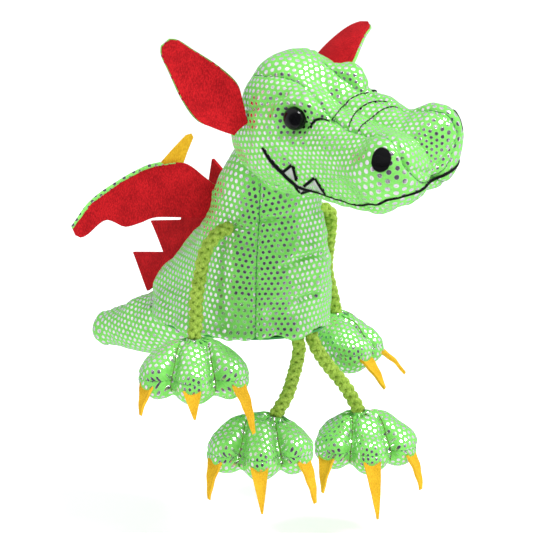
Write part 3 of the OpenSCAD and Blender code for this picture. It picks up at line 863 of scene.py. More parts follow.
# %% Seams, creases, darts and folds draw the body's cloth in
pull = 0.5 * lumps(body, 19, 3) + 0.16 * lumps(body, 7, 4)
for column, seed in ((LEFT_SEAM, 11), (RIGHT_SEAM, 21), (BACK_SEAM, 31)):
    pull += seam_pull(body, column, seed=seed)
for side in (-1, 1):
    for crease in (((-18, -16, 47.5), (-12, -20.5, 49.5), (-4.5, -23.5, 50)),
                   ((-13, -23.5, 30), (-3, -26, 32), (8, -25.5, 33)),
                   ((-5, -25.5, 15.5), (3.5, -25.5, 16.5), (11, -24.5, 18))):
        pull += 1.25 * near(body, [(p[0] * -side, p[1], p[2]) for p in crease], 1.0)
        pull -= 0.5 * near(body, [(p[0] * -side, p[1], p[2] + 3.4) for p in crease], 2.6)
    dart = ((side * 24, -6, 45), (side * 22, -10.5, 45.3), (side * 19.6, -14, 45.4))
    fold = ((side * 23.5, -3, 42), (side * 26.3, -5, 31), (side * 27.3, -6, 16), (side * 28.3, -7, 5))
    pull += 1.3 * near(body, dart, 1.0) + 0.8 * near(body, fold, 1.6)
    pull -= 0.6 * near(body, [(p[0] * 1.02, p[1] - 4.5, p[2]) for p in fold], 2.8)
HEM_PITCH = 6.5
hem = np.exp(-np.clip(body[..., 2], 0, 50) / 2.2)
waves = np.cos(2 * math.pi * from_column(body, 0) / HEM_PITCH + 2 * lumps(body, 21, 5))
pull += hem * (0.35 + 0.3 * waves)
from_neck = ball(body, NECK)
pull *= np.clip((15.4 - from_neck + 8) / 6, 0, 1) + (from_neck > 22)
at_tail = ball(body, TAIL) < TAIL_SEAT + 0.4
pull = np.where(at_tail, 0, np.clip(pull, -0.8, 2.2))
body = pushed(body, body_out, pull)
print(f"the body's cloth is drawn in by up to {pull.max():.1f} mm")

# %% The hem is turned in, and the body becomes one mesh
centre = np.array((0, 8, 0.0))
low = body[0]
inner = [low + (centre - low) * k + vec(0, 0, h) for k, h in ((0.012, -0.25), (0.035, 0.1), (0.04, 4.0))]
body = np.concatenate([np.stack(inner[::-1]), body])
panels = [(0, BELLY_COLS), (BELLY_COLS, BACK_SEAM), (BACK_SEAM, BACK_SEAM + SIDE_COLS)]
body_skin = stuffed("body_skin", body, body_middle, panels, vec(0, 0, 1), foil, "root",
                    caps=(False, True))
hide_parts("belly_panel", "body_side_left", "body_side_right", "body_filling",
            "neck_filling")

# %% Thread in the body's seams
body_lines = [body[4:WALL_ROWS + 8, c] for c in (LEFT_SEAM, RIGHT_SEAM, BACK_SEAM)]
body_thread = seam_stitches("body_thread", body_lines, green_thread, "root")
for name in ("base_panel", "finger_sleeve"):
    frame["nodes"][name].data.materials.clear()
    frame["nodes"][name].data.materials.append(lining)

# %% [markdown]
# ## The head
# A gusset runs over the skull and the snout, between two sides, and a jaw panel closes it from
# below. The gusset is narrow between the brows and wide on the nose, so its seam wanders.
# The eyes are pulled in by their washers, so the cloth folds round them.

# %% The head's cloth
GUSSET_COLS, CHEEK_COLS, JAW_COLS = 90, 100, 100
RIGHT_TOP, RIGHT_JAW = GUSSET_COLS, GUSSET_COLS + CHEEK_COLS
LEFT_JAW = RIGHT_JAW + JAW_COLS
NAPE_ROWS, SNOUT_ROWS, NOSE_ROWS = 36, 130, 40
JAW_FROM = 128.0
leans = np.concatenate([np.linspace(-88, -3, NAPE_ROWS), np.zeros(SNOUT_ROWS),
                        np.linspace(3, 88, NOSE_ROWS)])
t = np.concatenate([np.zeros(NAPE_ROWS), np.linspace(0, 1, SNOUT_ROWS), np.ones(NOSE_ROWS)])
origins = vec(0, 3, -3) + t[:, None] * vec(0, -61, 4)
# The gusset's half width in degrees, from the nape at -1 over the skull at 0 to the nose at 2.
place = t + np.clip(leans, 0, 90) / 90 + np.clip(leans, -90, 0) / 90
seam_at = ((-1, 40), (-0.5, 31), (0, 29), (0.2, 20), (0.35, 20), (0.5, 32), (0.68, 39), (0.78, 37),
           (1, 32), (1.2, 36), (1.42, 54), (1.7, 72), (2, 88))
half = np.interp(place, [s[0] for s in seam_at], [s[1] for s in seam_at])
half = np.convolve(np.pad(half, 4, mode="edge"), np.full(9, 1 / 9), "valid")[:, None]


def share(n):
    """n even steps from 0 that stop short of 1."""
    return np.linspace(0, 1, n + 1)[:-1]


angles = np.concatenate([
    -half + 2 * half * share(GUSSET_COLS),
    half + (JAW_FROM - half) * share(CHEEK_COLS),
    JAW_FROM + (360 - 2 * JAW_FROM) * share(JAW_COLS) + 0 * half,
    360 - JAW_FROM + (JAW_FROM - half) * share(CHEEK_COLS)], 1)
head = wrap(head_shape, FORWARD, origins, leans, angles)
head_out = outward(head, vec(0, -25, 0))
print(f"head: {len(t)} rings of {angles.shape[1]} points")

# %% Eyes and folds draw the head's cloth in, and the brows and cheeks fill it out
pull = 0.3 * lumps(head, 17, 6) + 0.1 * lumps(head, 6, 7)
for column, seed in ((0, 41), (RIGHT_TOP, 51), (RIGHT_JAW, 61), (LEFT_JAW, 71)):
    pull += seam_pull(head, column, depth=0.8, pucker=0.3, seed=seed)
# Half of the mouth's line, from the right corner to the middle of the snout.
MOUTH = ((-24.5, -7, -2.5), (-24.5, -13, -7), (-22, -22, -14), (-20, -29, -15), (-18, -43, -14),
         (-18, -50, -12.5), (-19.5, -57, -8), (-20.5, -65.5, -1.5), (-17, -69.5, 0),
         (-12.5, -71.5, 0.5), (0, -72, 0.5))
EYE_WAYS = {1: unit(vec(-0.92, -0.24, 0.3)), -1: unit(vec(0.95, -0.2, 0.05))}
EYE_FROM = {1: vec(-9.3, -15.4, 9.4), -1: vec(9.3, -14.5, 5)}
EYES = {s: reach(head_shape, EYE_FROM[s][None], EYE_WAYS[s][None])[0] for s in (1, -1)}
for side in (1, -1):
    def at(*route, side=side):
        return [(p[0] * side, p[1], p[2]) for p in route]
    d = ball(head, EYES[side])
    pull += 3.0 * np.exp(-((d / 6.1) ** 4)) + 0.6 * np.exp(-((d / 9) ** 2))
    brow = at((-21, -10, 10), (-18, -12, 18.5), (-16.5, -18, 19.5), (-15, -24, 16))
    brow_top = at((-12.5, -17.5, 20.5), (-13, -22, 18))
    cheek = at((-25, -10, 5.5), (-24.5, -17, 3.5), (-22, -24, 5))
    pull -= 1.7 * near(head, brow, 2.1) + 0.8 * near(head, brow_top, 2.0) + 0.5 * near(head, cheek, 2.6)
    folds = ((0.9, 1.2, at((-19, 8, 5.5), (-20, 2, 9.5), (-19.5, -3.5, 13), (-15.5, -10.5, 18.5))),
             (0.8, 1.1, at((-16.5, -21, 17), (-13, -26.5, 15), (-12, -30.5, 14.5))),
             (0.8, 1.1, at((-18.5, -23.5, 12), (-15.5, -25.5, 14), (-13, -28, 15))),
             (0.7, 1.3, at((-21.5, -8.5, 13.5), (-23, -11.5, 9.5), (-23, -16, 7), (-21.5, -21, 8.5))),
             (0.6, 1.5, at((-12.5, -66, 20), (-8.5, -64, 18), (-7.5, -60, 14))),
             (0.3, 1.2, at(*MOUTH)),
             (1.0, 1.2, at((-7.5, -15.5, 20), (-8.5, -21, 18.5), (-9.5, -26, 16), (-11.5, -30.5, 15))),
             (0.7, 1.2, at((-12, -30.5, 14.5), (-11.5, -43.5, 15), (-11.5, -59, 20))),
             (1.3, 1.1, at((-12, -60.5, 21), (-12.5, -65, 20), (-14.5, -69, 17), (-14.5, -70.5, 13),
                           (-9.5, -71.5, 9.5), (-2, -71.5, 5.5))))
    for deep, wide, line in folds:
        pull += deep * near(head, line, wide)
at_neck = ball(head, (NECK - HEAD) @ HEAD_TURN) < NECK_SEAT + 1
pull = np.where(at_neck, 0, np.clip(pull, -1.6, 4.0))
head = pushed(head, head_out, pull)
print(f"the head's cloth is drawn in by up to {pull.max():.1f} mm")

# %% The head as one mesh, tilted as it is worn
head_row = from_head(head)
head_middle = from_head(vec(0, -25, 0))
panels = [(0, RIGHT_TOP), (RIGHT_TOP, RIGHT_JAW), (RIGHT_JAW, LEFT_JAW),
          (LEFT_JAW, LEFT_JAW + CHEEK_COLS)]
head_skin = stuffed("head_skin", head_row, head_middle, panels, HEAD_TURN @ vec(0, 0.5, 1), foil,
                    "head")
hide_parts("head_side_left", "head_side_right", "head_gusset", "jaw_panel",
            "head_filling", "eye_washer_left", "eye_washer_right")
head_lines = [head_row[2:-2, c] for c in (0, RIGHT_TOP, RIGHT_JAW, LEFT_JAW)]
seam_stitches("head_thread", head_lines, green_thread, "head", 2.4, 2.4, 0.4)

# %% [markdown]
# ## The face
# Mouth, teeth, nostrils and the lines on the nose are machine embroidery. A satin stitch lays
# threads side by side across a line, and a run of single stitches makes a thin line. Each
# thread lies on the cloth as it finds it, so the face is found again on the finished skin.

# %% Finding the skin
rings, cols = head_row.shape[:2]
skin_faces = [[i * cols + j, i * cols + (j + 1) % cols,
               (i + 1) * cols + (j + 1) % cols, (i + 1) * cols + j]
              for i in range(rings - 1) for j in range(cols)]
skin_tree = BVHTree.FromPolygons(head_row.reshape(-1, 3).tolist(), skin_faces)


def on_skin(points):
    """Points of the head's frame put on the skin, and the way it faces there, in the row frame."""
    places, ways = [], []
    for p in from_head(points):
        hit, n, _, _ = skin_tree.find_nearest(Vector(p))
        n = vec(*n)
        places.append(vec(*hit))
        ways.append(n if n @ (places[-1] - head_middle) > 0 else -n)
    return np.array(places), np.array(ways)


def eased(values, n):
    """A moving mean, so that a thread spans the small hollows of the cloth."""
    padded = np.pad(values, ((n // 2, n // 2), (0, 0)), mode="edge")
    return np.stack([np.convolve(padded[:, k], np.full(n, 1 / n), "valid") for k in range(3)], 1)


PROUD, EASE = 0.35, 9


class Embroidery:
    """Collects stitches of one thread."""

    def __init__(self):
        self.places, self.ways, self.lengths = [], [], []

    def satin(self, route, wide, every=0.3, slant=0.25):
        """Threads side by side across a line. wide is a number, or several along the line."""
        line, n = on_skin(smooth(route, every))
        for _ in range(2):
            line = eased(line, EASE)
        n = unit(eased(n, EASE))
        way = unit(np.gradient(line, axis=0))
        across = unit(np.cross(n, way) + slant * way)
        given = np.atleast_1d(wide)
        wide = np.interp(np.linspace(0, 1, len(line)), np.linspace(0, 1, len(given)), given)
        ragged = 1 + 0.08 * np.sin(np.arange(len(line)) * 2.4)
        self.places.append(line + n * PROUD)
        self.ways.append(across)
        self.lengths.append(wide * ragged)

    def run(self, route, long=1.7, gap=0.25):
        """Single stitches end to end along a line."""
        line, n = on_skin(smooth(route, 0.4))
        skip = max(1, round((long + gap) / 0.4))
        line = eased(line, EASE)[::skip]
        n = unit(eased(n, EASE))[::skip]
        step = np.diff(line, axis=0)
        self.places.append((line[1:] + line[:-1]) / 2 + n[1:] * 0.3)
        self.ways.append(step)
        self.lengths.append(np.linalg.norm(step, axis=1) * long / (long + gap) * 1.08)

    def done(self, name, thick, paint):
        """The stitches as one piece on the head."""
        obj = stitches(name, np.vstack(self.places), np.vstack(self.ways),
                       np.concatenate(self.lengths), thick, paint, "head")


# %% The mouth
black, grey = Embroidery(), Embroidery()
whole_mouth = list(MOUTH) + [(-p[0], p[1], p[2]) for p in MOUTH[-2::-1]]
mouth_half = [1.2, 1.9, 2.0, 1.8, 1.3, 1.1, 1.1, 1.3, 1.4, 1.4]
black.satin(whole_mouth, mouth_half + mouth_half[::-1])

# %% Teeth and nostrils
NOSTRIL_HALF, NOSTRIL_TALL = 4.05, 8.6
teeth = (((-24, -17, -10), (-22.5, -20.5, -5.5), (-22, -23, -12)),
         ((-22, -21.5, -13), (-20, -23, -18.5), (-20.5, -29.5, -14.5)),
         ((-21, -25.5, -13.5), (-20.5, -30.5, -7.5), (-19.5, -35.5, -13.5)))
for side in (1, -1):
    for tooth in teeth:
        a, tip, b = (vec(p[0] * side, p[1], p[2]) for p in tooth)
        for f in np.linspace(0.06, 0.94, 11):
            base = a + (b - a) * f
            top = tip + (base - tip) * (abs(f - 0.5) * 2)
            ends, n = on_skin([base, top])
            grey.places.append([(ends[0] + ends[1]) / 2 + n[0] * 0.1])
            grey.ways.append([ends[1] - ends[0] + 1e-3])
            grey.lengths.append([np.linalg.norm(ends[1] - ends[0]) * 1.2 + 0.6])
        black.satin([a, (a + tip) / 2, tip], 1.25, 0.28)
        black.satin([tip, (b + tip) / 2, b], 1.25, 0.28)
    nostril = vec(-20.5, -63, 16) if side > 0 else vec(21, -62, 11)
    place, n = on_skin([nostril])
    across = unit(np.cross(n[0], vec(0, 0, 1)))
    up = np.cross(across, n[0])
    for k in np.linspace(-3.75, 3.75, 27):
        long = NOSTRIL_TALL * math.sqrt(1 - (k / NOSTRIL_HALF) ** 2)
        for f in (-0.3, 0.0, 0.3):
            spot = place[0] + across * k + up * long * f
            hit = skin_tree.find_nearest(Vector(spot))[0]
            black.places.append([vec(*hit) + n[0] * PROUD])
            black.ways.append([up])
            black.lengths.append([long * 0.55])

# %% Lines over the nose, and a line from each eye to its bridge
nose_lines = (
    ((-12, -30.5, 14.5), (-7.5, -30, 15.5), (0.5, -26.5, 13), (7, -28, 15.5), (13.5, -28, 14)),
    ((-12, -38.5, 15), (-7, -36.5, 15.5), (1, -33, 13.5), (8, -35.5, 15.5), (12.5, -38.5, 15)),
    ((-11.5, -43.5, 15), (-8.5, -42.5, 15.5), (1, -40, 14), (9, -42, 15.5), (12, -43.5, 15)))
for line in nose_lines:
    black.run(line, 1.9, 0.05)
for side in (1, -1):
    bridge = ((-18.5, -24.5, 11.5), (-15, -25.5, 14), (-13.5, -27, 14.5), (-12, -30.5, 14.5))
    if side < 0:
        bridge = ((20, -23.5, 6), (18.5, -25.5, 9), (16.5, -27.5, 12), (14, -28.4, 14))
    black.satin(bridge, 1.0, 0.28)
black.done("face_embroidery", 0.5, black_thread)
grey.done("teeth_embroidery", 0.45, white_thread)

# %% [markdown]
# ## The eyes
# A safety eye is a polished dome on a shank that goes through the cloth.

# %% Domes turned round the eye's own axis
EYE_R, EYE_TALL, EYE_SUNK, EYE_SIDES = 4.6, 4.5, 2.9, 48
turned = np.linspace(0, 2 * math.pi, EYE_SIDES + 1)[:-1, None]
dome = [(EYE_R * math.sin(a), EYE_TALL * math.cos(a)) for a in np.linspace(0.08, 1.57, 18)]
profile = [(0.02, EYE_TALL)] + dome + [(4.4, -0.6), (1.5, -0.7), (1.5, -4.0)]
print(f"eyes {2 * EYE_R} mm across")
for side, name in ((1, "eye_right"), (-1, "eye_left")):
    way = HEAD_TURN @ EYE_WAYS[side]
    base = from_head(EYES[side]) - way * EYE_SUNK
    one = unit(np.cross(way, vec(0, 0, 1)))
    two = np.cross(way, one)
    rings = [base + way * h + r * (np.cos(turned) * one + np.sin(turned) * two)
             for r, h in profile]
    k = np.arange(len(profile) * EYE_SIDES).reshape(-1, EYE_SIDES)
    right = np.roll(k, -1, 1)
    faces = np.stack([k[:-1], k[1:], right[1:], right[:-1]], -1).reshape(-1, 4)
    p = np.vstack(rings)
    a, b, c = p[faces[:, 0]], p[faces[:, 1]], p[faces[:, 3]]
    if (np.cross(b - a, c - a) * (a - base)).sum() < 0:
        faces = faces[:, ::-1]
    eye = joined("eye_dome_" + name[4:], [(p, faces.tolist())], eye_plastic, "head")
    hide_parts(name)

# %% [markdown]
# ## The tail
# Two halves meet in a seam above and a seam below, and taper to a point.

# %% The tail's cloth
TAIL_COLS = 144
UNDER_SEAM, OVER_SEAM = 0, TAIL_COLS // 2
leans = np.concatenate([np.linspace(-86, -3, 22), np.zeros(70), np.linspace(4, 87, 18)])
t = np.concatenate([np.zeros(22), np.linspace(0, 1, 70), np.ones(18)])
origins = TAIL + t[:, None] * vec(-8, 38, -12)
angles = np.linspace(0, 360, TAIL_COLS + 1)[:-1]
tail = wrap(tail_shape, BACKWARD, origins, leans, np.broadcast_to(angles, (len(t), TAIL_COLS)))
tail_middle = vec(-3, 60, -9)
pull = 0.3 * lumps(tail, 15, 8) + 0.1 * lumps(tail, 6, 9)
pull += seam_pull(tail, UNDER_SEAM, seed=81) + seam_pull(tail, OVER_SEAM, seed=91)
pull = np.clip(pull, -0.6, 2.0) * np.clip((ball(tail, TAIL) - 15.3) / 2, 0, 1)
tail = pushed(tail, outward(tail, tail_middle), pull)
halves = [(UNDER_SEAM, OVER_SEAM), (OVER_SEAM, TAIL_COLS)]
tail_skin = stuffed("tail_skin", tail, tail_middle, halves, vec(0, 0, 1), foil, "tail")
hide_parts("tail_side_left", "tail_side_right", "tail_filling")
tail_lines = [tail[30:-3, c] for c in (UNDER_SEAM, OVER_SEAM)]
seam_stitches("tail_thread", tail_lines, green_thread, "tail")

# %% [markdown]
# ## Felt shapes
# Ears, wings, spines and claws are flat pieces with a cut edge. Each is filled with small
# triangles so that it can curl, given its thickness, and stood on its root.

# %% A flat piece that can curl


def flat_piece(name, outline, thick, root, along, across, paint, body, bend, step=1.0, lift=0.0):
    """Stands an outline on a root. bend says how far a place on it leaves the plane."""
    ring = []
    for a, b in zip(outline, np.roll(outline, -1, 0)):
        n = max(1, int(np.linalg.norm(b - a) / step))
        ring += [a + (b - a) * k / n for k in range(n)]
    ring = np.array(ring)
    x, y = np.meshgrid(np.arange(ring[:, 0].min(), ring[:, 0].max(), step),
                       np.arange(ring[:, 1].min(), ring[:, 1].max(), step * 0.87))
    x = x + (np.arange(len(x)) % 2)[:, None] * step / 2
    grid = np.stack([x.ravel(), y.ravel()], 1)
    apart = np.array([np.min(((ring - g) ** 2).sum(1)) for g in grid])
    grid = grid[apart > (0.55 * step) ** 2]
    n = len(ring)
    made = delaunay_2d_cdt([Vector(p) for p in np.vstack([ring, grid])],
                           [(k, (k + 1) % n) for k in range(n)], [], 1, 1e-5)
    flat = np.array([tuple(p) for p in made[0]])
    faces = [list(f) for f in made[2]]
    a, b, c = (flat[[f[k] for f in faces]] for k in range(3))
    if np.cross(b - a, c - a).sum() < 0:
        faces = [f[::-1] for f in faces]
    used = {}
    for f in faces:
        for i in range(3):
            used[(f[i], f[(i + 1) % 3])] = used.get((f[i], f[(i + 1) % 3]), 0) + 1
    rim = [e for e in used if (e[1], e[0]) not in used]
    out = np.cross(along, across)
    m = len(flat)
    sheet = root + flat[:, :1] * along + flat[:, 1:] * across
    height = np.array([bend(*p) for p in flat])[:, None] + lift
    p = np.vstack([sheet + out * (height + thick / 2), sheet + out * (height - thick / 2)])
    walls = [[b, a, a + m, b + m] for a, b in rim]
    mesh = bpy.data.meshes.new(name)
    backs = [[i + m for i in f[::-1]] for f in faces]
    mesh.from_pydata((p * MM).tolist(), [], faces + backs + walls)
    layer = mesh.uv_layers.new(name="cloth")
    corner = np.zeros(len(mesh.loops), int)
    mesh.loops.foreach_get("vertex_index", corner)
    layer.data.foreach_set("uv", flat[corner % m].ravel())
    mesh.shade_smooth()
    mesh.set_sharp_from_angle(angle=math.radians(55))
    obj = keep(mesh, name, paint, body)
    obj["flat_area"] = float(area(flat, np.array([[f[0], f[1], f[2], f[2]] for f in faces])))
    return obj


def sheet_of(obj):
    """Reads a flat piece's pattern from its cloth map, and returns the piece as it is."""
    uv = np.zeros(len(obj.data.loops) * 2)
    obj.data.uv_layers["cloth"].data.foreach_get("uv", uv)
    return obj


def square_to(v, along):
    """The part of v that is square to along, one long."""
    return unit(v - along * (v @ along))


# %% Ears
EAR_LONG = 44
ear_half = ((-0.07, 3.4), (0.12, 7.5), (0.28, 10), (0.5, 9), (0.75, 6.2), (0.93, 4.2), (1, 2.0))
for side, word, k in ((-1, "right", 0.95), (1, "left", 0.8)):
    long = EAR_LONG * k
    along = unit(vec(-0.33, 0.54, 0.77) if side < 0 else vec(0.98, 0.15, 0.14))
    across = square_to(vec(-0.79, 0.26, -0.55) if side < 0 else vec(-0.39, -0.88, 0.28), along)
    root = from_head(vec(side * 23.4, 8, 1) + 0.3 * along)
    along, across = HEAD_TURN @ along, HEAD_TURN @ across
    half = [(s * long, w) for s, w in ear_half]
    outline = np.array(half + [(s, -w) for s, w in half[::-1]])
    outline = np.vstack([smooth(outline[:7], 1.2), smooth(outline[7:], 1.2)])

    def cup(x, y, long=long):
        base = math.exp(-x / 9)
        curl = 0.04 * y * y * (0.3 + 1.6 * base) - 1.6 * math.sin(math.pi * x / long)
        return curl + 0.25 * math.sin(x / 5 + y / 4)
    front = flat_piece(f"ear_{word}_front", outline, FELT, root, along, across, red_felt,
                       f"ear_{word}", cup, lift=-side * FELT / 2)
    grow = outline * vec(1.0, 1.05) + vec(0.35, 0)
    back = flat_piece(f"ear_{word}_lame", grow, FOIL_CLOTH, root, along, across, foil_light,
                      f"ear_{word}", cup, lift=side * 0.36)
    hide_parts(f"ear_{word}_felt")
    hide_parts(f"ear_{word}_back")
    sheet_of(front)
    sheet_of(back)
    fuzz(front, f"ear_{word}", red_felt, 1.6, 0.75, 3)

# %% [markdown]
# The wings are lined with red felt too. Their cloth is folded over the leading edge, where it
# shows as a narrow green rim, and a claw of yellow felt is caught at the bend.

# %% Wings
lead = [(-9.5, 9), (-3, 14.5), (6, 21), (17, 20), (22, 18.5), (31, 14), (43, 6), (51, -4)]
trail = [(50, -6.5), (48, -7.5), (45, -6.3), (40, -2), (37, -0.8), (34, -2), (30, -3.8), (24, -2.4),
         (18, -0.4), (8, -0.6), (-2, -1)]
claw = np.array([(7, 18.5), (4.5, 25), (1.8, 31), (2.6, 32.6), (4.9, 32), (10, 27), (18, 18.5)])
for side, word in ((-1, "right"), (1, "left")):
    along = unit(vec(side * 0.7, 0.7, -0.03))
    up = square_to(vec(-side * 0.1, 0.1, 1), along)
    root = vec(side * 13.9, 20.9, 44)
    # The felt lies on the side that faces forward.
    face = side

    def sail(x, y, face=face):
        belly = 1.5 * math.sin(math.pi * np.clip(x, 0, 60) / 60)
        return -face * (belly + 0.35 * math.sin(y / 3.1 + x / 9))

    def rim(x, y, face=face):
        edge = np.interp(x, [p[0] for p in lead], [p[1] for p in lead])
        roll = min(1.0, max(0.0, (y - edge + 0.7) / 1.0))
        return sail(x, y, face) + face * 2.0 * roll * (x > 9)
    outline = np.array(list(smooth(lead, 1.2)) + list(smooth(trail, 1.2)))
    front = flat_piece(f"wing_{word}_lining", outline, FELT, root, along, up, red_felt,
                       f"wing_{word}", sail, lift=face * FELT / 2)
    wider = np.array([(x + 0.5, y + 1.3) if x > 14 else (x, y) for x, y in smooth(lead, 1.2)]
                     + list(smooth(trail, 1.2)))
    back = flat_piece(f"wing_{word}_lame", wider, FOIL_CLOTH, root, along, up, foil_light,
                      f"wing_{word}", rim, step=0.8, lift=-face * 0.36)
    tip = flat_piece(f"wing_{word}_talon", claw, FELT, root, along, up, yellow_felt,
                     f"wing_{word}", sail, lift=-face * 1.45)
    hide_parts(f"wing_{word}_felt")
    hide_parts(f"wing_{word}_back")
    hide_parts(f"wing_{word}_claw")
    sheet_of(front)
    sheet_of(back)
    fuzz(front, f"wing_{word}", red_felt, 1.4, 0.7, 5)

# %% [markdown]
# The back spines are one strip of felt with four spikes. Its straight edge is caught in the seam
# down the back, so that edge is found on the body's own shape.

# %% Back spines


def back_at(z):
    """How far back the body reaches at this height."""
    return reach(body_shape, vec(0, -3, z)[None], vec(0, 1, 0)[None])[0][1]


def ripple(x, y):
    return 0.5 * math.sin(y / 9 + x / 14) * min(1, max(0, (x - 24) / 20))


SPINES_TOP = 58
spikes = (((28, 64), (31, 51)), ((43, 50), (47, 36)), ((65, 33), (57, 21)), ((76, 18), (66.5, 3.2)))
edge = [(back_at(h) - 1.2, h) for h in np.linspace(16, SPINES_TOP, 15)]
edge += [(back_at(SPINES_TOP) + 1.8, SPINES_TOP)]
for tip, notch in spikes:
    edge += [tip, notch]
edge += [(54, 12)]
spines = flat_piece("spine_strip", np.array(edge, float), FELT, vec(0, 0, 0), vec(0, 1, 0),
                    vec(0, 0, 1), red_felt, "root", ripple)
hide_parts("back_spines")
sheet_of(spines)
fuzz(spines, "root", red_felt, 1.4, 0.7, 6)

# %% [markdown]
# ## Arms and legs of braided cord
# Six thick strands cross over and under each other round a core: three wind one way and three
# the other. A strand that is over at one crossing is under at the next, which is what makes the
# V pattern of a braid.

# %% Braiding
BRAID_PITCH = 12.0


def braid(name, route, body_name, replaced):
    """Six strands round a core, along a route from the seam to the paw."""
    line = smooth(route, 0.35)
    way = unit(np.gradient(line, axis=0))
    line = np.vstack([line[0] - way[0] * 1.4, line, line[-1] + way[-1] * 1.0])
    s = np.concatenate([[0], np.cumsum(np.linalg.norm(np.diff(line, axis=0), axis=1))])
    side, other = square_frame(line)
    parts = [tube(line, 1.2)]
    for k in range(3):
        for hand in (1, -1):
            a = hand * 2 * math.pi * s / BRAID_PITCH + k * math.pi / 1.5
            r = 1.5 + hand * 0.4 * np.cos(6 * math.pi * s / BRAID_PITCH)
            strand = line + r[:, None] * (np.cos(a)[:, None] * side + np.sin(a)[:, None] * other)
            thick = 1.02 + 0.05 * np.sin(s * 3 + k)
            parts.append(tube(strand, thick))
    cord = joined(name, parts, yarn, body_name)
    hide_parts(replaced)
    hairs = fuzz(cord, body_name, yarn, 3.2, 1.1, 8, 0.04)


# %% [markdown]
# ## Paws
# A paw has three toes. A pulled thread draws the groove between two toes, the cord comes out of
# a gathered top, and the claws are caught in the seam at the ends of the toes. The four paws
# share one recipe, with their own width, turn and wrist.

# %% A paw's cloth and the outline of its claws
PAW_COLS, LOW_ROWS, MIDDLE_ROWS, TOP_ROWS = 144, 42, 3, 44
PAW_MIDDLE = vec(0, -2.5, 0)
TOE_SPREAD = 48
SPOKES = 13


def claw_shape(long):
    """A claw's outline, wide at its root and bent towards its tip."""
    half = [(0, 3.9), (0.35, 2.7), (0.7, 1.4), (0.9, 0.6), (1.0, 0.2)]
    left = [(-w + 0.5 * t, t * long) for t, w in half]
    right = [(w * 0.8 + 0.9 * t, t * long) for t, w in half]
    return np.array(right + left[::-1])


def toe_groove(shape, x):
    """The hollow between two toes, from the top of the paw to its underside."""
    start = vec(x * 0.6, -3, -1)
    groove = smooth([(x * 0.72, -3.5, 11.5), (x * 0.92, -9.5, 7.6), (x * 1.08, -13.2, 1.2),
                     (x * 1.12, -12.6, -5.5)], 0.5)
    picked = groove[np.linspace(0, len(groove) - 1, 40).astype(int)]
    return reach(shape, np.broadcast_to(start, (40, 3)), unit(picked - start))


def paw_cloth(shape, wrist, grooves, seed):
    """A paw's cloth, drawn in by its seam, its toe grooves and its gathered top. The seam
    between top and underside is row LOW_ROWS of the grid."""
    leans = np.concatenate([np.linspace(-87, -2, LOW_ROWS), np.zeros(MIDDLE_ROWS),
                            np.linspace(2, 87, TOP_ROWS)])
    t = np.concatenate([np.zeros(LOW_ROWS), vec(0.1, 0.5, 0.9), np.ones(TOP_ROWS)])
    origins = vec(0, -2.5, -2) + t[:, None] * vec(0, 0, 3)
    angles = 180 + np.linspace(0, 360, PAW_COLS + 1)[:-1]
    skin = wrap(shape, UPRIGHT, origins, leans, np.broadcast_to(angles, (len(t), PAW_COLS)))
    out = outward(skin, PAW_MIDDLE)
    rows = np.concatenate([[0], np.cumsum(np.linalg.norm(np.diff(skin, axis=0), axis=2).mean(1))])
    from_seam = np.abs(rows - rows[LOW_ROWS])[:, None]
    around = from_column(skin, 0) * np.sign(np.arange(PAW_COLS) - PAW_COLS // 2)
    pull = 0.25 * lumps(skin, 13, seed) + 0.08 * lumps(skin, 5, seed + 1)
    pull += 0.55 * np.exp(-((from_seam / 0.9) ** 1.4))
    pull += 0.16 * np.exp(-from_seam / 2.6) * (1 + np.cos(2 * math.pi * around / 3.0))
    d = ball(skin, wrist)
    spin = np.arctan2(skin[..., 1] - wrist[1], skin[..., 0] - wrist[0])
    pleats = 1 + np.cos(SPOKES * spin + 1.5 * lumps(skin, 9, seed + 2))
    pull += 0.42 * np.exp(-(((d - 3) / 4.2) ** 2)) * pleats + 0.6 * np.exp(-(((d - 2.6) / 1.7) ** 2))
    for found in grooves:
        pull += 1.5 * near(skin, found[::4], 2.2) + 0.9 * near(skin, found[::4], 0.9)
    return pushed(skin, out, np.where(d < 3.0, 0, np.clip(pull, -0.6, 3.2)))


# %% A paw's threads and claws


def paw_threads(name, skin, grooves, wrist, gathers, body_name):
    """The pulled threads between toes, the thread in the seam, and the gathers at the cord."""
    pulled = seam_stitches(name + "_pulled", grooves, olive_thread, body_name, 1.9, 2.3, 0.42)
    seam_stitches(name + "_seam", [skin[LOW_ROWS, 8:137]], green_thread, body_name, 2.0, 1.3, 0.26)
    spokes, ways = [], []
    for start in gathers:
        flat = skin.reshape(-1, 3)
        spot = flat[((flat - start) ** 2).sum(1).argmin()]
        spokes.append(spot + vec(0, 0, 0.1))
        ways.append(spot - wrist)
    stitches(name + "_gather", spokes, ways, np.full(len(spokes), 2.6), 0.3, green_thread,
             body_name)


def paw_claws(name, shape, w, rot, place, claws, droop, body_name, node, seed):
    """Three claws of felt, each caught in the seam at the end of its toe."""
    for k in (1, 2, 3):
        a = math.radians((k - 2) * TOE_SPREAD)
        o = vec((k - 2) * w * 0.28, -6, -3)
        d = unit(vec(math.sin(a), -math.cos(a), -0.2))
        tip = reach(shape, o[None], d[None])[0] - d * 1.6
        down = unit(d + vec(0, 0, -droop))
        across = square_to(vec(math.cos(a), math.sin(a), 0), -down)

        def hook(x, y, long=claws[k - 1], seed=seed + k):
            across_bend = 0.09 * (y - 2) ** 2 / max(long / 12, 1) * 0.25
            return across_bend - 0.10 * x * x + 0.15 * math.sin(y + seed)
        talon = flat_piece(f"{name}_talon_{k}", claw_shape(claws[k - 1] + 1.6), 1.2,
                           rot @ tip + place, rot @ across, rot @ down, yellow_felt, body_name,
                           hook, step=0.75)
        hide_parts(f"{node}_claw_{k}")


# %% A whole paw


